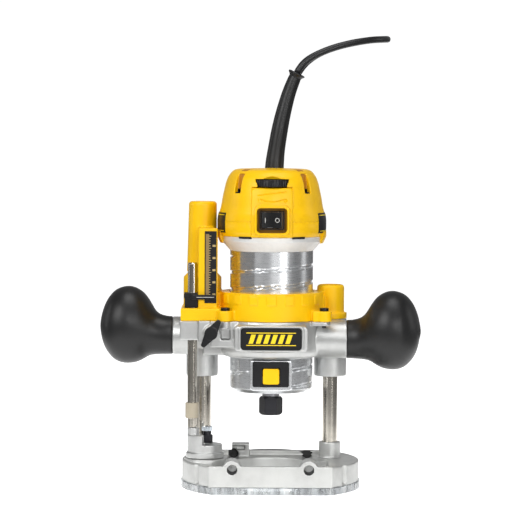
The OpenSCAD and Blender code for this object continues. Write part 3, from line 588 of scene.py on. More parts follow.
# ------------------------------------------------------------------ cord first
CD = 5.8
relief = [[1.7, 12, 262], [2.2, 12, 270], [3.4, 12, 280], [5.8, 12, 295], [8.9, 12, 310], [13.2, 12, 326], [17.3, 12, 337.2], [18.8, 12, 340.6]]
relief_r = [7.9, 7.7, 7.2, 6.9, 6.4, 5.8, 5.4, 5.3]
c64, s64 = math.cos(math.radians(64)), math.sin(math.radians(64))
cord_exit = np.array([20.2, 12, 343.6])
exit_dir = np.array([c64, 0, s64])
route = [cord_exit, cord_exit + 2 * exit_dir, cord_exit + 4 * exit_dir] + [
    [25.2, 12.3, 351.6], [29.8, 13, 355.5], [36, 14, 358.9], [45.2, 16, 363], [56.6, 19.5, 366.8], [70.4, 25, 370],
    [83.5, 33.2, 372.2], [93, 45, 373], [97.5, 59.5, 373.6], [94.8, 75, 373.9], [85.5, 86.5, 373.8], [72.2, 92.5, 372.1],
    [58.6, 93.6, 368.9], [46.8, 92.6, 364.9], [38, 91, 360.6], [31.2, 89.6, 355.9], [26, 88.3, 350.6], [21.4, 87, 343.6],
    [17.9, 86, 336.5], [13.7, 84.6, 326], [9.3, 83.3, 310.1], [6, 82.4, 294.6], [3.8, 82, 279.1], [3, 82, 262], [4, 83, 245],
    [6.6, 86, 227], [10.8, 91.5, 209], [16.2, 100, 192.5], [22.4, 110.5, 177], [28.8, 120.5, 161.5], [35.2, 128.6, 144.5],
    [41.4, 134.4, 125], [46.8, 137.4, 103], [50.6, 138.2, 79], [52.3, 137, 54], [52.8, 131, 31.5], [52.5, 120, 14],
    [51.2, 106, 5.2], [47.2, 92.6, 3], [39, 80.7, 3], [28.5, 71.8, 3]]
tail = [[-13, 71.3, 8.7], [-24, 74.6, 8.7], [-36, 79.6, 8.6], [-46.5, 86, 8.2], [-55, 94, 7.6], [-60.3, 103, 7.2], [-62, 112.5, 7], [-62, 118.6, 7]]
lead = catmull(route, 4)
coil = []
ph0 = math.degrees(math.atan2(71.8 - 108, 28.5))
r0 = math.hypot(28.5, 71.8 - 108)
low_turn, climb = 3.75, 150.0
r_in = 23.6
ang = ph0
step = 9.0
n_low = int(360 * low_turn / step)
for i in range(1, n_low + 1):
    t = i / n_low
    coil.append((ph0 - 360 * low_turn * t, r0 + (r_in - r0) * t, 3.0))
a1 = ph0 - 360 * low_turn
n_c = int(climb / step)
for i in range(1, n_c + 1):
    t = i / n_c
    u = t * t * (3 - 2 * t)
    coil.append((a1 - climb * t, r_in, 3.0 + 5.75 * u))
a2 = a1 - climb
phe = math.degrees(math.atan2(71.3 - 108, -13))
re_ = math.hypot(-13, 71.3 - 108)
k = math.floor((a2 - phe) / 360.0)
end = phe + 360.0 * k - 720.0
n_u = int((a2 - end) / step)
for i in range(1, n_u):
    t = i / n_u
    coil.append((a2 + (end - a2) * t, r_in + (re_ - r_in) * t, 8.75))
coil_pts = [np.array([r * math.cos(math.radians(a)), 108 + r * math.sin(math.radians(a)), z]) for a, r, z in coil]
path = [np.array(p, float) for p in lead] + coil_pts + [np.array(p, float) for p in catmull(tail, 4)]
# even out the join between coil and tail
P = np.array(path)
s_ = np.concatenate([[0], np.cumsum(np.linalg.norm(np.diff(P, axis=0), axis=1))])
total = s_[-1]
npt = int(total / 2.6)
tt = np.linspace(0, total, npt)
P = np.stack([np.interp(tt, s_, P[:, i]) for i in range(3)], 1)
for _ in range(3):
    P[2:-2] = 0.25 * P[1:-3] + 0.5 * P[2:-2] + 0.25 * P[3:-1]
cord_len = length(P) * MM
v, f = tube_mesh(P, [CD / 2] * len(P), 16)
cord = make("supply_cord", v, f, M["rubber_cord"])

# plug: moulded body with grip ribs, two flat blades
def rounded_rect(w, h, r, n=6):
    out = []
    for cx, cy, a0 in ((w / 2 - r, h / 2 - r, 0), (-w / 2 + r, h / 2 - r, 90), (-w / 2 + r, -h / 2 + r, 180), (w / 2 - r, -h / 2 + r, 270)):
        for i in range(n + 1):
            a = math.radians(a0 + 90 * i / n)
            out.append((cx + r * math.cos(a), cy + r * math.sin(a)))
    return out


def loft(rings, close=True):
    n = len(rings[0])
    verts = [p for r in rings for p in r]
    faces = []
    for i in range(len(rings) - 1):
        for j in range(n):
            k2 = (j + 1) % n
            faces.append((i * n + j, i * n + k2, (i + 1) * n + k2, (i + 1) * n + j))
    if close:
        faces.append(tuple(range(n - 1, -1, -1)))
        faces.append(tuple((len(rings) - 1) * n + j for j in range(n)))
    return verts, faces


rings = []
secs = [(118, 8.2, 8.2, 4.05), (119.5, 8.8, 8.8, 4.3), (121.4, 9, 9, 4.4), (121.8, 8.2, 8.2, 4.0), (122.6, 8.4, 8.4, 4.1), (123, 9.6, 9.6, 4.7), (124.4, 9.8, 9.8, 4.8),
        (124.8, 9, 9, 4.4), (125.6, 9.2, 9.2, 4.5), (126, 13, 11, 4.9), (127.2, 19.6, 12.2, 4.4), (129, 22.2, 12.8, 3.6), (131, 22.8, 13, 3.2)]
for yy in np.arange(132, 140.1, 1.0):
    dd = 0.55 if int(yy) % 2 else 0.0
    secs.append((float(yy), 22.8 - dd, 13 - dd, 3.2))
secs += [(141, 23, 13, 3.2), (143.2, 23, 13, 3), (143.8, 22.2, 12.2, 2.8), (144, 20.6, 10.6, 2.2)]
for yy, w, h, r in secs:
    rings.append([(-62 + a, yy, 7 + b) for a, b in rounded_rect(w, h, min(r, h / 2 - 0.05), 5)])
v, f = loft(rings)
f = [tuple(reversed(x)) for x in f]
plug = make("plug_moulding", v, f, M["rubber_cord"])
ridebody(plug, "base", "cord_rubber", ("supply_plug",))
bl_v, bl_f = [], []
for s in (-1, 1):
    cx = -62 + s * 6.35
    rr = []
    for yy, hh, ww in ((143.2, 6.3, 1.5), (157.6, 6.3, 1.5), (159.4, 5.0, 1.0), (159.9, 4.2, 0.6)):
        rr.append([(cx + a, yy, 7 + b) for a, b in ((ww / 2, hh / 2), (-ww / 2, hh / 2), (-ww / 2, -hh / 2), (ww / 2, -hh / 2))])
    vv, ff = loft(rr)
    bl_f += [tuple(i + len(bl_v) for i in reversed(x)) for x in ff]
    bl_v += vv
blades = make("plug_blades", bl_v, bl_f, M["brass_pin"], smooth=False)
ridebody(blades, "base", "screw_steel")
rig.blend(cord, "carriage", "base", start=(0, 0, 0.335), end=(0, 0, 0.04))
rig.replaces(cord, "cord_lead", "cord_coil")
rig.slot(cord, "cord_rubber")
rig.cord(cord, exit=tuple(cord_exit * MM), length=round(cord_len, 3), diameter=CD * MM, far_end="plug", stiffness="medium", lay="coiled",
        path=[tuple(p * MM) for p in P], with_pieces=[plug, blades])
print("cord length", round(cord_len, 4))

# strain relief: smooth taper with a flared mouth
rp = catmull(relief + [list(cord_exit - 1 * exit_dir), list(cord_exit)], 6)
rr_src = relief_r + [7.2, 7.0]
rr = [p[0] for p in catmull([[x, 0, 0] for x in rr_src], 6)]
rp = [np.array(p) for p in rp]
extra = [cord_exit + 0.25 * exit_dir]
v, f = tube_mesh(rp + extra, rr + [6.2], 40)
sr = make("cord_relief", v, f, M["rubber"])
ridebody(sr, "carriage", "grip_rubber", ("strain_relief",))

# ------------------------------------------------------------------ handles
grip = [[0, 15.8, -15.8, 15.9], [6, 16.3, -16, 16.1], [12, 18.2, -16.3, 17], [16, 21.6, -16.7, 18.3], [19, 26, -17.3, 20],
        [22, 30.8, -18.6, 21.8], [26, 35.6, -21, 24], [31, 38.9, -23.2, 25.8], [36, 40.5, -24.1, 26.8], [41, 40.4, -24.2, 27],
        [46, 38.9, -23, 26.2], [50, 36.4, -20.7, 24.4], [54, 31.9, -16.6, 21], [57, 26.6, -12, 17], [59.2, 20.6, -6.2, 12.6],
        [60.6, 14.5, 0.5, 8.4], [61.4, 11.4, 3.2, 4.2]]
HA = math.radians(10.8)
CH, SH = math.cos(HA), math.sin(HA)


def handle(name, sgn, start, node):
    g = [list(p) for p in catmull([list(p) for p in grip], 4)]
    n = 80

    def ring(x, top, bot, hw):
        c, h = (top + bot) / 2, (top - bot) / 2
        u = min(1.0, max(0.0, x) / 20.0)
        w = u * u * (3 - 2 * u)
        out = []
        for j in range(n):
            a = 2 * math.pi * j / n
            X = sgn * (start + x)
            Y, Z = hw * math.cos(a), 124 + c + h * math.sin(a)
            out.append((X * CH + w * Y * SH, -X * SH + Y * CH, Z))
        return out
    rings = [ring(0.0, 14.6, -14.6, 14.7), ring(0.05, 15.2, -15.2, 15.3), ring(0.5, 15.75, -15.75, 15.85)]
    for x, t, b, w in g:
        if x > 0.9:
            rings.append(ring(x, t, b, w))
    x, t, b, w = g[-1]
    for kx, ks in ((0.25, 0.7), (0.4, 0.4), (0.45, 0.12)):
        c, h = (t + b) / 2, (t - b) / 2
        rings.append(ring(x + kx, c + h * ks, c - h * ks, w * ks))
    v, f = loft(rings)
    if sgn < 0:
        f = [tuple(reversed(q)) for q in f]
    o = make(name, v, f, M["rubber"])
    bm_ = bmesh.new()
    bm_.from_mesh(o.data)
    bmesh.ops.recalc_face_normals(bm_, faces=bm_.faces)
    bm_.to_mesh(o.data)
    bm_.free()
    ridebody(o, "carriage", "grip_rubber", (node,))
    return o


handle("right_grip", 1, 62.2 / CH, "right_handle")
handle("left_grip", -1, 82.4 / CH, "left_handle")

# ------------------------------------------------------------------ castings and yellow cover
base_cast = soften("base_casting", M["cast_base"], 0.6, 7, keep=0.35)
# painted shadow: the faces inside the guide-rod bores are painted near-black
paint(base_cast, lambda c: (np.hypot(np.abs(c[:, 0]) - 31.3, c[:, 2] - 20.4) < 4.75) & (c[:, 1] > -56.2) & ((c[:, 1] < -37.5) | (c[:, 1] > 48.6)), M["bore_dark"])
car_cast = soften("carriage_casting", M["cast"], 0.62, 7, keep=0.3)
LC, RC = np.array([-57.6, 11.0]), np.array([49.5, 10.0])


def cover_project(co):
    out = co.copy()
    z = co[:, 2]
    # tall tube: draft on its outer side, rounded top
    d = co[:, :2] - LC
    r = np.hypot(d[:, 0], d[:, 1])
    on = (z > 178) & (r < 14.2)
    grow = 1 + 0.13 * np.clip((232 - z) / 58, 0, 1)
    out[:, 0] = np.where(on & (d[:, 0] < 0), LC[0] + d[:, 0] * grow, out[:, 0])
    for c, top, rad in ((LC, 236.6, 11.65), (RC, 167.8, 11.35)):
        d = out[:, :2] - c
        r = np.hypot(d[:, 0], d[:, 1])
        R = 2.6
        u = np.clip(z - (top - R), 0, R - 0.05)
        lim = rad - R + np.sqrt(R * R - u * u)
        over = (z > top - R) & (z < top + 1) & (r < rad + 1.6) & (r > lim)
        k_ = np.where(over, lim / np.maximum(r, 1e-6), 1)
        out[:, 0] = c[0] + d[:, 0] * k_
        out[:, 1] = c[1] + d[:, 1] * k_
    return out


def cover_all(co):
    out = cover_project(co)
    r = np.hypot(out[:, 0], out[:, 1])
    a = np.degrees(np.arctan2(out[:, 1], out[:, 0]))
    band = (out[:, 2] > 150) & (out[:, 2] < 162) & (r > 42.2) & (r < 44.2) & (a > -155) & (a < -25)
    da = (a + 150 + 10) % 20 - 10
    inside = (np.abs(np.radians(da)) * 43 < 3.7) & (out[:, 2] > 153.4) & (out[:, 2] < 161.2)
    R = np.where(inside, 43.95, 43.0)
    k_ = np.where(band, R / np.maximum(r, 1e-6), 1)
    out[:, 0] *= k_
    out[:, 1] *= k_
    return out


cover = soften("carriage_cover", M["yellow"], 0.6, 6, keep=0.45, project=cover_all)
turret = soften("turret", M["cast"], 0.4, 5, keep=0.5)

# ------------------------------------------------------------------ motor cap
cap_pts = [[40.2, 207.4], [42.7, 208.8], [45.4, 212.6], [45.4, 221.5], [45.4, 228.4], [43.8, 232], [42.5, 242], [40.3, 253], [37.8, 259], [35.3, 263], [32.4, 265.4], [28.4, 266.5], [14, 267.2], [0, 267.4]]


def polyline_smooth(pts, width):
    p = np.array(pts, float)
    s = np.concatenate([[0], np.cumsum(np.linalg.norm(np.diff(p, axis=0), axis=1))])
    t = np.arange(0, s[-1], 0.2)
    q_ = np.stack([np.interp(t, s, p[:, i]) for i in range(2)], 1)
    k_ = int(width / 0.2) | 1
    ker = np.hanning(k_ + 2)[1:-1]
    ker /= ker.sum()
    pad = k_ // 2
    e = np.concatenate([np.repeat(q_[:1], pad, 0), q_, np.repeat(q_[-1:], pad, 0)])
    out = np.stack([np.convolve(e[:, i], ker, "valid") for i in range(2)], 1)
    out[0], out[-1] = q_[0], q_[-1]
    return out


cap_prof = polyline_smooth(cap_pts, 7.0)
SLIM_Z = [208.8, 212.6, 221.5, 226, 228.4, 232, 238.6, 245, 253.8, 257, 260, 263, 265.2, 266.4, 267.4]
SLIM_K = [1.0, 0.985, 0.987, 0.976, 0.962, 0.968, 0.963, 0.956, 0.95, 0.95, 0.95, 0.955, 0.97, 0.99, 1.0]


def slim(co):
    """Takes the round cap to its real outline: slimmer at the sides and back, crown 2.6 mm lower."""
    out = co.copy()
    a = np.degrees(np.arctan2(co[:, 1], co[:, 0]))
    off = np.abs((a + 90 + 180) % 360 - 180)
    w_ = sstep(off, 30.0, 66.0)
    k_ = 1 + (np.interp(co[:, 2], SLIM_Z, SLIM_K) - 1) * w_
    out[:, 0] *= k_
    out[:, 1] *= k_
    z = co[:, 2]
    out[:, 2] = np.where(z > 257, 257 + (z - 257) * 0.75, z)
    return out


def sstep(x, a, b):
    t = np.clip((x - a) / (b - a), 0, 1)
    return t * t * (3 - 2 * t)



def cap_project(co):
    r = np.hypot(co[:, 0], co[:, 1])
    pts = np.stack([r, co[:, 2]], 1)
    out = co.copy()
    # nearest profile point for the vertices close to the outer skin
    sel = np.where((co[:, 2] > 207.5) & (r > 8))[0]
    for c0 in range(0, len(sel), 20000):
        ids = sel[c0:c0 + 20000]
        d = np.linalg.norm(pts[ids][:, None, :] - cap_prof[None, ::2, :], axis=2)
        j = d.argmin(1)
        dm = d.min(1)
        ok = dm < 0.9
        near = ids[ok]
        tgt = cap_prof[::2][j[ok]]
        w = np.clip((0.9 - dm[ok]) / 0.5, 0, 1)
        rn = r[near] + (tgt[:, 0] - r[near]) * w
        zn = co[near, 2] + (tgt[:, 1] - co[near, 2]) * w
        out[near, 0] *= rn / r[near]
        out[near, 1] *= rn / r[near]
        out[near, 2] = zn
    return out


def cap_project_band(z0, z1):
    def go(co):
        o = cap_project(co)
        edge = (co[:, 2] < z0 + 0.9) | (co[:, 2] > z1 - 0.9)
        o[edge, 2] = co[edge, 2]
        return slim(o)
    return go


cap_up = soften("motor_cap_upper", M["yellow"], 0.5, 4, keep=0.45, project=cap_project_band(221.5, 400))
cap_lo = soften("motor_cap_lower", M["yellow"], 0.5, 4, keep=0.45, project=cap_project_band(208.8, 221.5))

prof_r = cap_prof[:, 0]
prof_z = cap_prof[:, 1]


def cap_r(z):
    m = (prof_z > 208) & (prof_z < 264)
    return np.interp(z, prof_z[m], prof_r[m])




def in_vent(c):
    a = np.degrees(np.arctan2(c[:, 1], c[:, 0]))
    r = np.hypot(c[:, 0], c[:, 1])
    near = np.zeros(len(c), dtype=bool)
    for v_ in (-134.5, -44, 135.5, 44.5):
        da = (a - v_ + 180) % 360 - 180
        near |= np.abs(np.radians(da)) * r < 3.7
    off = np.abs((a + 90 + 180) % 360 - 180)
    zz = np.where(c[:, 2] > 257, 257 + (c[:, 2] - 257) / 0.75, c[:, 2])
    k_ = 1 + (np.interp(zz, SLIM_Z, SLIM_K) - 1) * sstep(off, 30.0, 66.0)
    return near & (r < cap_r(zz) * k_ - 0.75) & (r > 27)


# vent grooves: painted shade, the groove faces get the darker orange-brown yellow
paint(cap_up, lambda c: in_vent(c) & (c[:, 2] > 248.2) & (c[:, 2] < 267), M["yellow_painted_shade"])
# painted shadow: the faces at the bottom opening of each vent are painted black
paint(cap_up, lambda c: in_vent(c) & (c[:, 2] <= 248.2) & (c[:, 2] > 244), M["black"])
# front panel: raised plate, switch surround, moulded marks
def sstep(x, a, b):
    t = np.clip((x - a) / (b - a), 0, 1)
    return t * t * (3 - 2 * t)


def rrect_sd(x, z, cx, cz, w, h, r):
    dx = np.abs(x - cx) - (w / 2 - r)
    dz = np.abs(z - cz) - (h / 2 - r)
    return np.hypot(np.maximum(dx, 0), np.maximum(dz, 0)) + np.minimum(np.maximum(dx, dz), 0) - r


def seg_d(x, z, a, b):
    a, b = np.array(a, float), np.array(b, float)
    d = b - a
    t = np.clip(((x - a[0]) * d[0] + (z - a[1]) * d[1]) / (d @ d), 0, 1)
    return np.hypot(x - a[0] - t * d[0], z - a[1] - t * d[1])


def front_panel():
    st = 0.32 if not QUICK else 0.6
    xs = np.arange(-17.3, 17.3001, st)
    zs = np.arange(208.95, 249.45, st)
    X, Z = np.meshgrid(xs, zs)
    R = cap_r(Z)
    Y = -np.sqrt(np.maximum(R * R - X * X, 1))
    plate = rrect_sd(X, Z, 0, 219.2, 34.4, 59.6, 3.2)
    lift = 0.95 * (1 - sstep(plate, -0.9, 0.1)) - 0.75 * sstep(plate, 0.0, 0.4)
    sur = rrect_sd(X, Z, 0, 222.9, 28.6, 24.4, 4.0)
    lift = lift + 0.75 * (1 - sstep(sur, -1.3, 0.0))
    # moulded marks above the switch: a slim ramp and a shallow arc with a dot
    ramp_line = np.minimum(seg_d(X, Z, (-11.3, 243.2), (11.3, 246.0)), seg_d(X, Z, (-11.3, 243.2), (11.3, 246.0)))
    lift = lift - 0.75 * (1 - sstep(ramp_line, 0.15, 0.6))
    arc = np.abs(np.hypot(X, Z - 262.0) - 24.0)
    arc = np.where(np.abs(X) < 9.6, arc, 9)
    lift = lift - 0.7 * (1 - sstep(arc, 0.15, 0.6))
    dot = np.abs(np.hypot(X - 11.2, Z - 238.9) - 1.05)
    lift = lift - 0.65 * (1 - sstep(dot, 0.12, 0.5))
    tick = seg_d(X, Z, (-11.2, 237.8), (-11.2, 240.2))
    lift = lift - 0.4 * (1 - sstep(tick, 0.1, 0.45))
    Y = Y - lift
    # flat land of the surround, then the recess
    land = (sur < 0.0)
    flat = -46.9
    Y = np.where(land, Y * 0.35 + flat * 0.65, Y)
    rec = rrect_sd(X, Z, 0, 222.9, 25.2, 20.9, 3.4)
    kk = np.clip((0.1 - rec) / 2.6, 0, 1)
    Y = Y + kk * (-40.1 - Y)
    hole = rrect_sd(X, Z, 0, 222.9, 20.0, 15.6, 1.6) < 0
    Y = np.where(hole, -37.4, Y)
    kk = np.where(hole, 1, kk)
    ny, nx = X.shape
    front = np.stack([X, Y, Z], -1).reshape(-1, 3)
    Rb = cap_r(Z) - 2.6
    Yb = -np.sqrt(np.maximum(Rb * Rb - X * X, 1))
    Yb = np.where(kk > 0.01, np.maximum(Yb, -36.2), Yb)
    back = np.stack([X, Yb, Z], -1).reshape(-1, 3)
    verts = np.concatenate([front, back])
    nn = nx * ny
    faces = []
    for j in range(ny - 1):
        for i in range(nx - 1):
            a = j * nx + i
            faces.append((a, a + 1, a + nx + 1, a + nx))
            faces.append((nn + a, nn + a + nx, nn + a + nx + 1, nn + a + 1))
    for i in range(nx - 1):
        faces.append((i + 1, i, nn + i, nn + i + 1))
        a = (ny - 1) * nx + i
        faces.append((a, a + 1, nn + a + 1, nn + a))
    for j in range(ny - 1):
        a = j * nx
        faces.append((a, a + nx, nn + a + nx, nn + a))
        a = j * nx + nx - 1
        faces.append((a + nx, a, nn + a, nn + a + nx))
    o = make("front_panel_moulding", verts, faces, M["yellow"])
    # painted shade: the recess faces round the switch are painted dark brown
    paint(o, lambda c: (rrect_sd(c[:, 0], c[:, 2], 0, 222.9, 25.2, 20.9, 3.4) < -0.35) & (c[:, 1] < -37), M["brown_shade"])
    o.data.set_sharp_from_angle(angle=math.radians(50))
    ridebody(o, "carriage", "yellow_plastic", ("front_panel",))
    return o


front_panel()

# ------------------------------------------------------------------ motor body: turned, with a screw thread cut by a flat
def body_project(co):
    x, y, z = co[:, 0], co[:, 1], co[:, 2]
    r = np.hypot(x, y)
    out = co.copy()
    skin = (r > 33.7) & (z > 83.2) & ~((np.abs(x) < 17.6) & (y < 0) & (z < 109.4))
    th = np.arctan2(y, x)
    pitch = 13.9
    # groove height at this angle; rises towards the right at the front
    ph = (z - 84.4 - pitch * (th + math.pi / 2) / (2 * math.pi)) / pitch
    dz = (ph - np.round(ph)) * pitch
    g = 1 - sstep(np.abs(dz), 0.9, 1.55)
    R = 33.0 + 0 * g
    k_ = sstep(z, 83.2, 84.4)
    rn = r + (R - r) * np.where(skin, k_, 0)
    out[:, 0] = x / np.maximum(r, 1e-6) * rn
    out[:, 1] = y / np.maximum(r, 1e-6) * rn
    # milled flat for the height scale
    a0 = math.radians(-90 - 36.5)
    nx_, ny_ = math.cos(a0), math.sin(a0)
    d = out[:, 0] * nx_ + out[:, 1] * ny_
    flat = 40
    over = skin & (d > flat) & (z > 84)
    out[over, 0] -= (d[over] - flat) * nx_
    out[over, 1] -= (d[over] - flat) * ny_
    return out


motor = soften("motor_housing", M["turned"], 0.5, 4, keep=0.6, project=body_project)


def motor_skin():
    nt_ = 180 if QUICK else 320
    zs = np.linspace(83.0, 196.5, 120 if QUICK else 260)
    th = np.linspace(0, 2 * math.pi, nt_, endpoint=False)
    T, Z = np.meshgrid(th, zs)
    pitch = 13.9
    ph = (Z - 84.4 - pitch * (T + math.pi / 2) / (2 * math.pi)) / pitch
    dz = (ph - np.round(ph)) * pitch
    g = 1 - sstep(np.abs(dz), 0.85, 1.3)
    lipz = np.clip(1 - np.abs(np.abs(dz) - 1.55) / 0.35, 0, 1)
    ends = sstep(Z, 84.4, 86.0) * (1 - sstep(Z, 191.0, 193.0))
    R = 34.5 - 1.2 * g * ends + 0.12 * lipz * ends
    R = R - 0.5 * (1 - sstep(Z, 83.0, 83.5))
    # milled flat for the height marks
    a0 = math.radians(-90 - 36.5)
    c_ = np.cos(T - a0)
    lim = np.where(c_ > 0.5, 33.72 / np.maximum(c_, 0.5), 99)
    R = np.minimum(R, lim)
    # room for the lock window in front
    X = R * np.cos(T)
    front = (np.abs(X) < 9.0) & (np.sin(T) < 0) & (Z < 103.5)
    open_ = front[:-1] & front[1:] & np.roll(front, -1, axis=1)[:-1] & np.roll(front, -1, axis=1)[1:]
    outer = np.stack([R * np.cos(T), R * np.sin(T), Z], -1).reshape(-1, 3)
    Ri = np.minimum(R - 0.8, 33.2)
    inner = np.stack([Ri * np.cos(T), Ri * np.sin(T), Z], -1).reshape(-1, 3)
    verts = np.concatenate([outer, inner])
    nz_ = len(zs)
    n_ = nt_ * nz_
    faces = []
    for j in range(nz_ - 1):
        for i in range(nt_):
            k2 = (i + 1) % nt_
            a, b_, c, d = j * nt_ + i, j * nt_ + k2, (j + 1) * nt_ + k2, (j + 1) * nt_ + i
            if open_[j, i]:
                if not open_[j, i - 1]:
                    faces.append((d, a, n_ + a, n_ + d))
                if not open_[j, k2]:
                    faces.append((b_, c, n_ + c, n_ + b_))
                if not open_[j + 1, i]:
                    faces.append((c, d, n_ + d, n_ + c))
                continue
            faces.append((a, b_, c, d))
            faces.append((n_ + a, n_ + d, n_ + c, n_ + b_))
    for i in range(nt_):
        k2 = (i + 1) % nt_
        if not open_[0, i]:
            faces.append((k2, i, n_ + i, n_ + k2))
        t_ = (nz_ - 1) * nt_
        faces.append((t_ + i, t_ + k2, n_ + t_ + k2, n_ + t_ + i))
    o = make("motor_skin", verts, faces, M["turned"])
    o.data.set_sharp_from_angle(angle=math.radians(35))
    return ridebody(o, "carriage", "turned_alloy")


motor_skin()
collar = refine("motor_collar", M["cap_grey"], 0.5, 3)

# ------------------------------------------------------------------ small rigid parts
for n, mat, w in (
    ("sub_base", M["clear"], 0.5), ("sub_base_screws", M["steel_dark"], 0.2), ("left_column", M["steel"], 0.4), ("right_column", M["steel"], 0.3),
    ("turret_stop_bolt", M["zinc"], 0.3), ("turret_jam_nut", M["steel_dark"], 0.35), ("turret_screw", M["steel_dark"], 0.25),
    ("cover_screws", M["steel_dark"], 0.3), ("depth_rod", M["steel"], 0.25), ("depth_rod_ferrule", M["ferrule"], 0.5),
    ("plunge_lock_screw", M["steel_dark"], 0.4), ("clamp_bolt", M["zinc"], 0.35), ("clamp_pin", M["steel"], 0.3),
    ("lock_panel", M["black"], 0.35), ("lock_button", M["yellow"], 0.8), ("switch_body", M["black"], 0.45), ("switch_rocker", M["black_gloss"], 0.5),
    ("collet", M["steel"], 0.15), ("column_set_screws", M["steel_dark"], 0.2),
    ("nameplate", M["black"], 0.3), ("scale_plate", M["black"], 0.12),
):
    try:
        refine(n, mat, w, 3 if w >= 0.3 else 2)
    except Exception as ex:
        print("refine failed", n, ex)
nut = refine("collet_nut", M["steel_dark"], 0.5, 3)
knob = soften("depth_lock_knob", M["black"], 0.3, 5, keep=0.6)
lever1 = soften("plunge_lock_lever", M["black"], 0.4, 7, keep=0.6)
lever2 = soften("clamp_lever", M["black"], 0.4, 7, keep=0.6)
pointer = soften("depth_pointer", M["black"], 0.3, 3, keep=0.6)

# speed dial: knurled, slightly conical
rings_ = []
nk = 144
for z_, r_ in ((250.0, 13.9), (250.35, 14.5), (250.7, 14.85), (253.0, 14.7), (255.2, 14.45), (255.65, 14.2), (256.0, 13.6)):
    row = []
    for j in range(nk):
        a = 2 * math.pi * j / nk
        rr_ = r_ - (0.42 if (j // 2) % 2 and 250.3 < z_ < 255.8 else 0.0)
        row.append((rr_ * math.cos(a), -28.6 + rr_ * math.sin(a), z_))
    rings_.append(row)
v, f = loft(rings_)
f = [tuple(reversed(q_)) for q_ in f]
dial = make("speed_dial_knurled", v, f, M["black"])
dial.data.set_sharp_from_angle(angle=math.radians(28))
bm_ = bmesh.new()
bm_.from_mesh(dial.data)
bmesh.ops.recalc_face_normals(bm_, faces=bm_.faces)
bm_.to_mesh(dial.data)
bm_.free()
ridebody(dial, "speed_dial", "black_plastic", ("speed_dial",))

# plunge spring, round wire, closed ends
turns = 27
pts = []
nseg = 18 if QUICK else 28
for i in range(turns * nseg + 1):
    a = 2 * math.pi * i / nseg
    pts.append((-57.6 + 4.1 * math.cos(a), 11 + 4.1 * math.sin(a), 16.8 + (232.8 - 16.8) * i / (turns * nseg)))
v, f = tube_mesh(pts, [0.65] * len(pts), 8)
sp = make("plunge_spring_wire", v, f, M["spring"])
ridebody(sp, "base", "spring_steel", ("plunge_spring",))
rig.squash(sp, "plunge", axis=(0, 0, 1), anchor=(-0.0576, 0.011, 0.01615), keep=0.747)


# ------------------------------------------------------------------ printed and moulded marks (thin solid pieces)
def slab(name, polys, mat, body, slot):
    """polys: list of (outline points in mm in 3D, thickness vector)."""
    verts, faces = [], []
    for pts_, tv in polys:
        b0 = len(verts)
        n_ = len(pts_)
        tv = np.array(tv, float)
        verts += [np.array(p, float) for p in pts_] + [np.array(p, float) + tv for p in pts_]
        faces.append(tuple(b0 + i for i in range(n_)))
        faces.append(tuple(b0 + n_ + i for i in reversed(range(n_))))
        for i in range(n_):
            k2 = (i + 1) % n_
            faces.append((b0 + i, b0 + n_ + i, b0 + n_ + k2, b0 + k2))
    o = make(name, verts, faces, mat, smooth=False)
    bm_ = bmesh.new()
    bm_.from_mesh(o.data)
    bmesh.ops.recalc_face_normals(bm_, faces=bm_.faces)
    bm_.to_mesh(o.data)
    bm_.free()
    return ridebody(o, body, slot)


def xz_box(x0, x1, z0, z1, y, t=0.12):
    return ([(x0, y, z0), (x1, y, z0), (x1, y, z1), (x0, y, z1)], (0, t, 0))


# depth scale: tan bar and ticks every 5 mm, long ones every 10
ys = -25.7 - 0.10
sc_polys = [xz_box(-54.2, -51.5, 157.2, 210.9, ys)]
slab("scale_bar", sc_polys, M["tan_mark"], "carriage", "black_plastic")
tk = []
for i in range(0, 6):
    z = 161.2 + i * 10.0
    if z < 211:
        tk.append(xz_box(-48.6, -46.1, z - 0.8, z + 0.8, ys))
for i in range(0, 26):
    z = 159.2 + i * 2.0
    tk.append(xz_box(-51.5, -50.4 if i % 5 else -49.7, z - 0.28, z + 0.28, ys))
slab("scale_ticks", tk, M["tan_light"], "carriage", "black_plastic")
# hairline on the pointer
slab("pointer_hairline", [xz_box(-61.5, -47.2, 158.75, 159.15, -28.2)], M["pale_mark"], "depth_pointer", "black_plastic")
# nameplate graphic: a plain frame with slanted bars
yb = -45.9 - 0.08
bars = []
for i in range(6):
    x = -16.6 + i * 6.0
    bars.append(([(x - 2.0, yb, 122.6), (x + 1.6, yb, 122.6), (x + 4.0, yb, 130.0), (x + 0.4, yb, 130.0)], (0, 0.15, 0)))
bars.append(xz_box(-20.3, 20.1, 131.0, 131.7, yb))
bars.append(xz_box(-20.3, 20.1, 120.9, 121.6, yb))
slab("nameplate_bars", bars, M["yellow_mark"], "carriage", "yellow_plastic")


# side plates on the cap, wrapped round it
def wrap_plate(name, a0, a1, z0, z1, off, mat, thick=0.5, slot="black_plastic"):
    na = 28
    nz = 6
    A = np.linspace(math.radians(a0), math.radians(a1), na)
    Zs = np.linspace(z0, z1, nz)
    rings_ = []
    verts, faces = [], []
    for o_ in (off, off - thick):
        for z in Zs:
            for a in A:
                r = float(cap_r(z)) * float(np.interp(z, SLIM_Z, SLIM_K)) + o_
                verts.append((r * math.cos(a), r * math.sin(a), z))
    nn = na * nz
    for j in range(nz - 1):
        for i in range(na - 1):
            a = j * na + i
            faces.append((a, a + 1, a + na + 1, a + na))
            faces.append((nn + a, nn + a + na, nn + a + na + 1, nn + a + 1))
    for i in range(na - 1):
        faces.append((i + 1, i, nn + i, nn + i + 1))
        a = (nz - 1) * na + i
        faces.append((a, a + 1, nn + a + 1, nn + a))
    for j in range(nz - 1):
        a = j * na
        faces.append((a, a + na, nn + a + na, nn + a))
        a = j * na + na - 1
        faces.append((a + na, a, nn + a, nn + a + na))
    o = make(name, verts, faces, mat)
    o.data.set_sharp_from_angle(angle=math.radians(50))
    return ridebody(o, "carriage", slot)


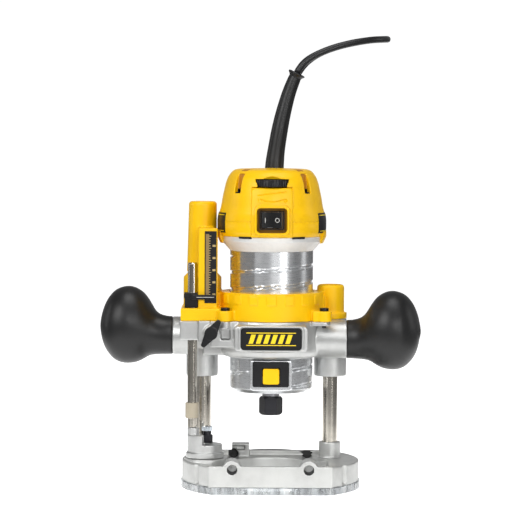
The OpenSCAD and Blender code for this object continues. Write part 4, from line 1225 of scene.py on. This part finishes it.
def arc_solid(name, a0, a1, prof, mat, slot):
    """prof: closed outline of (r, z) swept round Z between two angles."""
    na = 26
    verts, faces = [], []
    k_ = len(prof)
    for i in range(na):
        a = math.radians(a0 + (a1 - a0) * i / (na - 1))
        verts += [(r * math.cos(a), r * math.sin(a), z) for r, z in prof]
    for i in range(na - 1):
        for j in range(k_):
            q_ = (j + 1) % k_
            faces.append((i * k_ + j, i * k_ + q_, (i + 1) * k_ + q_, (i + 1) * k_ + j))
    faces.append(tuple(range(k_)))
    faces.append(tuple((na - 1) * k_ + j for j in reversed(range(k_))))
    o = make(name, verts, faces, mat)
    bm_ = bmesh.new()
    bm_.from_mesh(o.data)
    bmesh.ops.recalc_face_normals(bm_, faces=bm_.faces)
    bm_.to_mesh(o.data)
    bm_.free()
    o.data.set_sharp_from_angle(angle=math.radians(40))
    return ridebody(o, "carriage", slot)


for side, c in (("left", 180.0), ("right", 0.0)):
    arc_solid("cap_skirt_" + side, c - 19, c + 19, [(42.1, 203.0), (42.9, 203.0), (45.3, 208.6), (45.3, 213), (42.1, 213)], M["yellow"], "yellow_plastic")
for k_, (a0, a1) in enumerate(((-129.0, -113.0), (-67.0, -51.0))):
    arc_solid("cap_notch_%d" % k_, a0, a1, [(42.05, 207.6), (42.75, 207.6), (43.2, 209.3), (42.2, 209.3)], M["black"], "black_plastic")
for side, c in (("left", 180.0), ("right", 0.0)):
    wrap_plate("side_plate_" + side, c - 31, c + 31, 211.9, 228.3, 0.45, M["black"], 0.9)
    wrap_plate("side_band_top_" + side, c - 28.5, c + 28.5, 226.3, 226.9, 0.55, M["yellow_mark"], 0.2, "yellow_plastic")
    wrap_plate("side_band_low_" + side, c - 28.5, c + 28.5, 213.3, 213.9, 0.55, M["yellow_mark"], 0.2, "yellow_plastic")

# rocker marks: a bar and a ring, lying on the two halves of the rocker's face
rc_ = np.array([0, -35.0, 223.0])
ca, sa = math.cos(math.radians(-6)), math.sin(math.radians(-6))


def rock(x, y, z):
    return (x * ca - y * sa, -35.0 + x * sa + y * ca, 223.0 + z)


mk = []
t_ = (0, 0.25, 0)
face_y = lambda x: -4.4 - (6.2 - 4.4) * abs(x) / 8.0 - 0.06
mk.append(([rock(x, face_y(x), z) for x, z in ((-5.2, -2.0), (-4.6, -2.0), (-4.6, 2.0), (-5.2, 2.0))], t_))
no = 24
for i in range(no):
    a, b = 2 * math.pi * i / no, 2 * math.pi * (i + 1) / no
    q4 = [(5.0 + 1.9 * math.cos(a), 1.9 * math.sin(a)), (5.0 + 1.9 * math.cos(b), 1.9 * math.sin(b)), (5.0 + 1.35 * math.cos(b), 1.35 * math.sin(b)), (5.0 + 1.35 * math.cos(a), 1.35 * math.sin(a))]
    mk.append(([rock(x, face_y(x), z) for x, z in q4], t_))
# painted highlight: thin grey strips along the bottom and sides of the rocker stand in for the lit edges of its bezel
slab("rocker_rim_highlight", [xz_box(-7.7, 7.7, 216.9, 217.25, -39.75, 0.3), xz_box(7.75, 8.1, 217.3, 228.6, -39.75, 0.3), xz_box(-8.1, -7.75, 217.3, 228.6, -39.75, 0.3)], M["rim_painted_highlight"], "carriage", "black_plastic")
slab("rocker_marks", mk, M["pale_mark"], "switch_rocker", "black_plastic")

# ------------------------------------------------------------------ floor, light
fl_v = [(-6, -6, 0), (6, -6, 0), (6, 6, 0), (-6, 6, 0)]
floor = make("floor", fl_v, [(0, 1, 2, 3)], None, smooth=False, scale=1.0)
floor.location.z = -0.0003
m, nt, b = new_mat("floor_pale")
vv = coords(nt)
nt.links.new(ramp(nt, noise(nt, vv, 3, 3), [(0.3, (0.78, 0.78, 0.78)), (0.7, (0.82, 0.82, 0.82))]), b.inputs["Base Color"])
b.inputs["Roughness"].default_value = 0.8
b.inputs["Specular IOR Level"].default_value = 0.0
sp_ = nt.nodes.new("ShaderNodeSeparateXYZ")
nt.links.new(vv, sp_.inputs["Vector"])
b.inputs["Emission Color"].default_value = (1, 1, 1, 1)
# bright only behind the object, in a wedge that widens away from it; dim in front and to the sides
def calc(op, a, b_):
    n_ = nt.nodes.new("ShaderNodeMath")
    n_.operation = op
    for i_, v_ in enumerate((a, b_)):
        if isinstance(v_, (int, float)):
            n_.inputs[i_].default_value = v_
        elif v_ is not None:
            nt.links.new(v_, n_.inputs[i_])
    return n_.outputs[0]


ax = calc("ABSOLUTE", sp_.outputs["X"], None)
edge = calc("SUBTRACT", ax, calc("MULTIPLY", sp_.outputs["Y"], 0.15))
side = rng(nt, edge, 1.0, 0.0, 0.27, 0.45)
back = rng(nt, sp_.outputs["Y"], 0.0, 1.0, -0.44, -0.27)
nt.links.new(rng(nt, calc("MULTIPLY", side, back), 0.04, 0.88), b.inputs["Emission Strength"])
nt.links.new(ramp(nt, calc("MULTIPLY", side, back), [(0.0, (0.16, 0.16, 0.16)), (1.0, (0.80, 0.80, 0.80))]), b.inputs["Base Color"])
floor.data.materials.append(m)
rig.stage(floor)

w = bpy.data.worlds.new("studio")
sc.world = w
w.use_nodes = True
nt = w.node_tree
bg = nt.nodes["Background"]
tc = nt.nodes.new("ShaderNodeTexCoord")
sep = nt.nodes.new("ShaderNodeSeparateXYZ")
nt.links.new(tc.outputs["Generated"], sep.inputs["Vector"])
mr = nt.nodes.new("ShaderNodeMapRange")
mr.inputs["From Min"].default_value = -1.0
mr.inputs["From Max"].default_value = 1.0
nt.links.new(sep.outputs["Y"], mr.inputs["Value"])
ry = nt.nodes.new("ShaderNodeValToRGB")
cr = ry.color_ramp
cr.elements[0].position = 0.0
cr.elements[0].color = (0.24, 0.24, 0.245, 1)
cr.elements[1].position = 0.990
cr.elements[1].color = (1, 1, 1, 1)
for p_, c_ in ((0.50, 0.17), (0.75, 0.20), (0.972, 0.30)):
    e = cr.elements.new(p_)
    e.color = (c_, c_, c_ * 1.01, 1)
nt.links.new(mr.outputs["Result"], ry.inputs["Fac"])
nt.links.new(ry.outputs["Color"], bg.inputs["Color"])
bg.inputs["Strength"].default_value = 1.03


def area(name, loc, tgt, size, power, sy=None):
    l = bpy.data.lights.new(name, "AREA")
    l.shape = "RECTANGLE"
    l.size = size
    l.size_y = sy or size
    l.energy = power
    o = bpy.data.objects.new(name, l)
    sc.collection.objects.link(o)
    o.location = loc
    o.rotation_mode = "QUATERNION"
    o.rotation_quaternion = (Vector(tgt) - Vector(loc)).to_track_quat("-Z", "Y")
    return o


area("key", (-1.25, -1.55, 1.15), (0, 0, 0.17), 0.85, 21, 1.1)
area("front", (0.35, -2.3, 0.75), (0, 0, 0.17), 0.55, 11, 0.5)
area("strip_right", (1.15, -1.75, 0.55), (0, 0, 0.17), 0.34, 10, 1.3)
area("top", (0.1, -0.35, 1.8), (0, 0, 0.1), 1.0, 12)
area("side_left", (-1.7, 0.3, 0.5), (0, 0, 0.17), 0.4, 2.5, 1.0)
area("side_right", (1.7, 0.3, 0.6), (0, 0, 0.17), 0.4, 2.5, 1.0)

vis_box = [list(v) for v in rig.bounds()]
json.dump({"cad": cad_box, "visual": vis_box}, open("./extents.json", "w"))
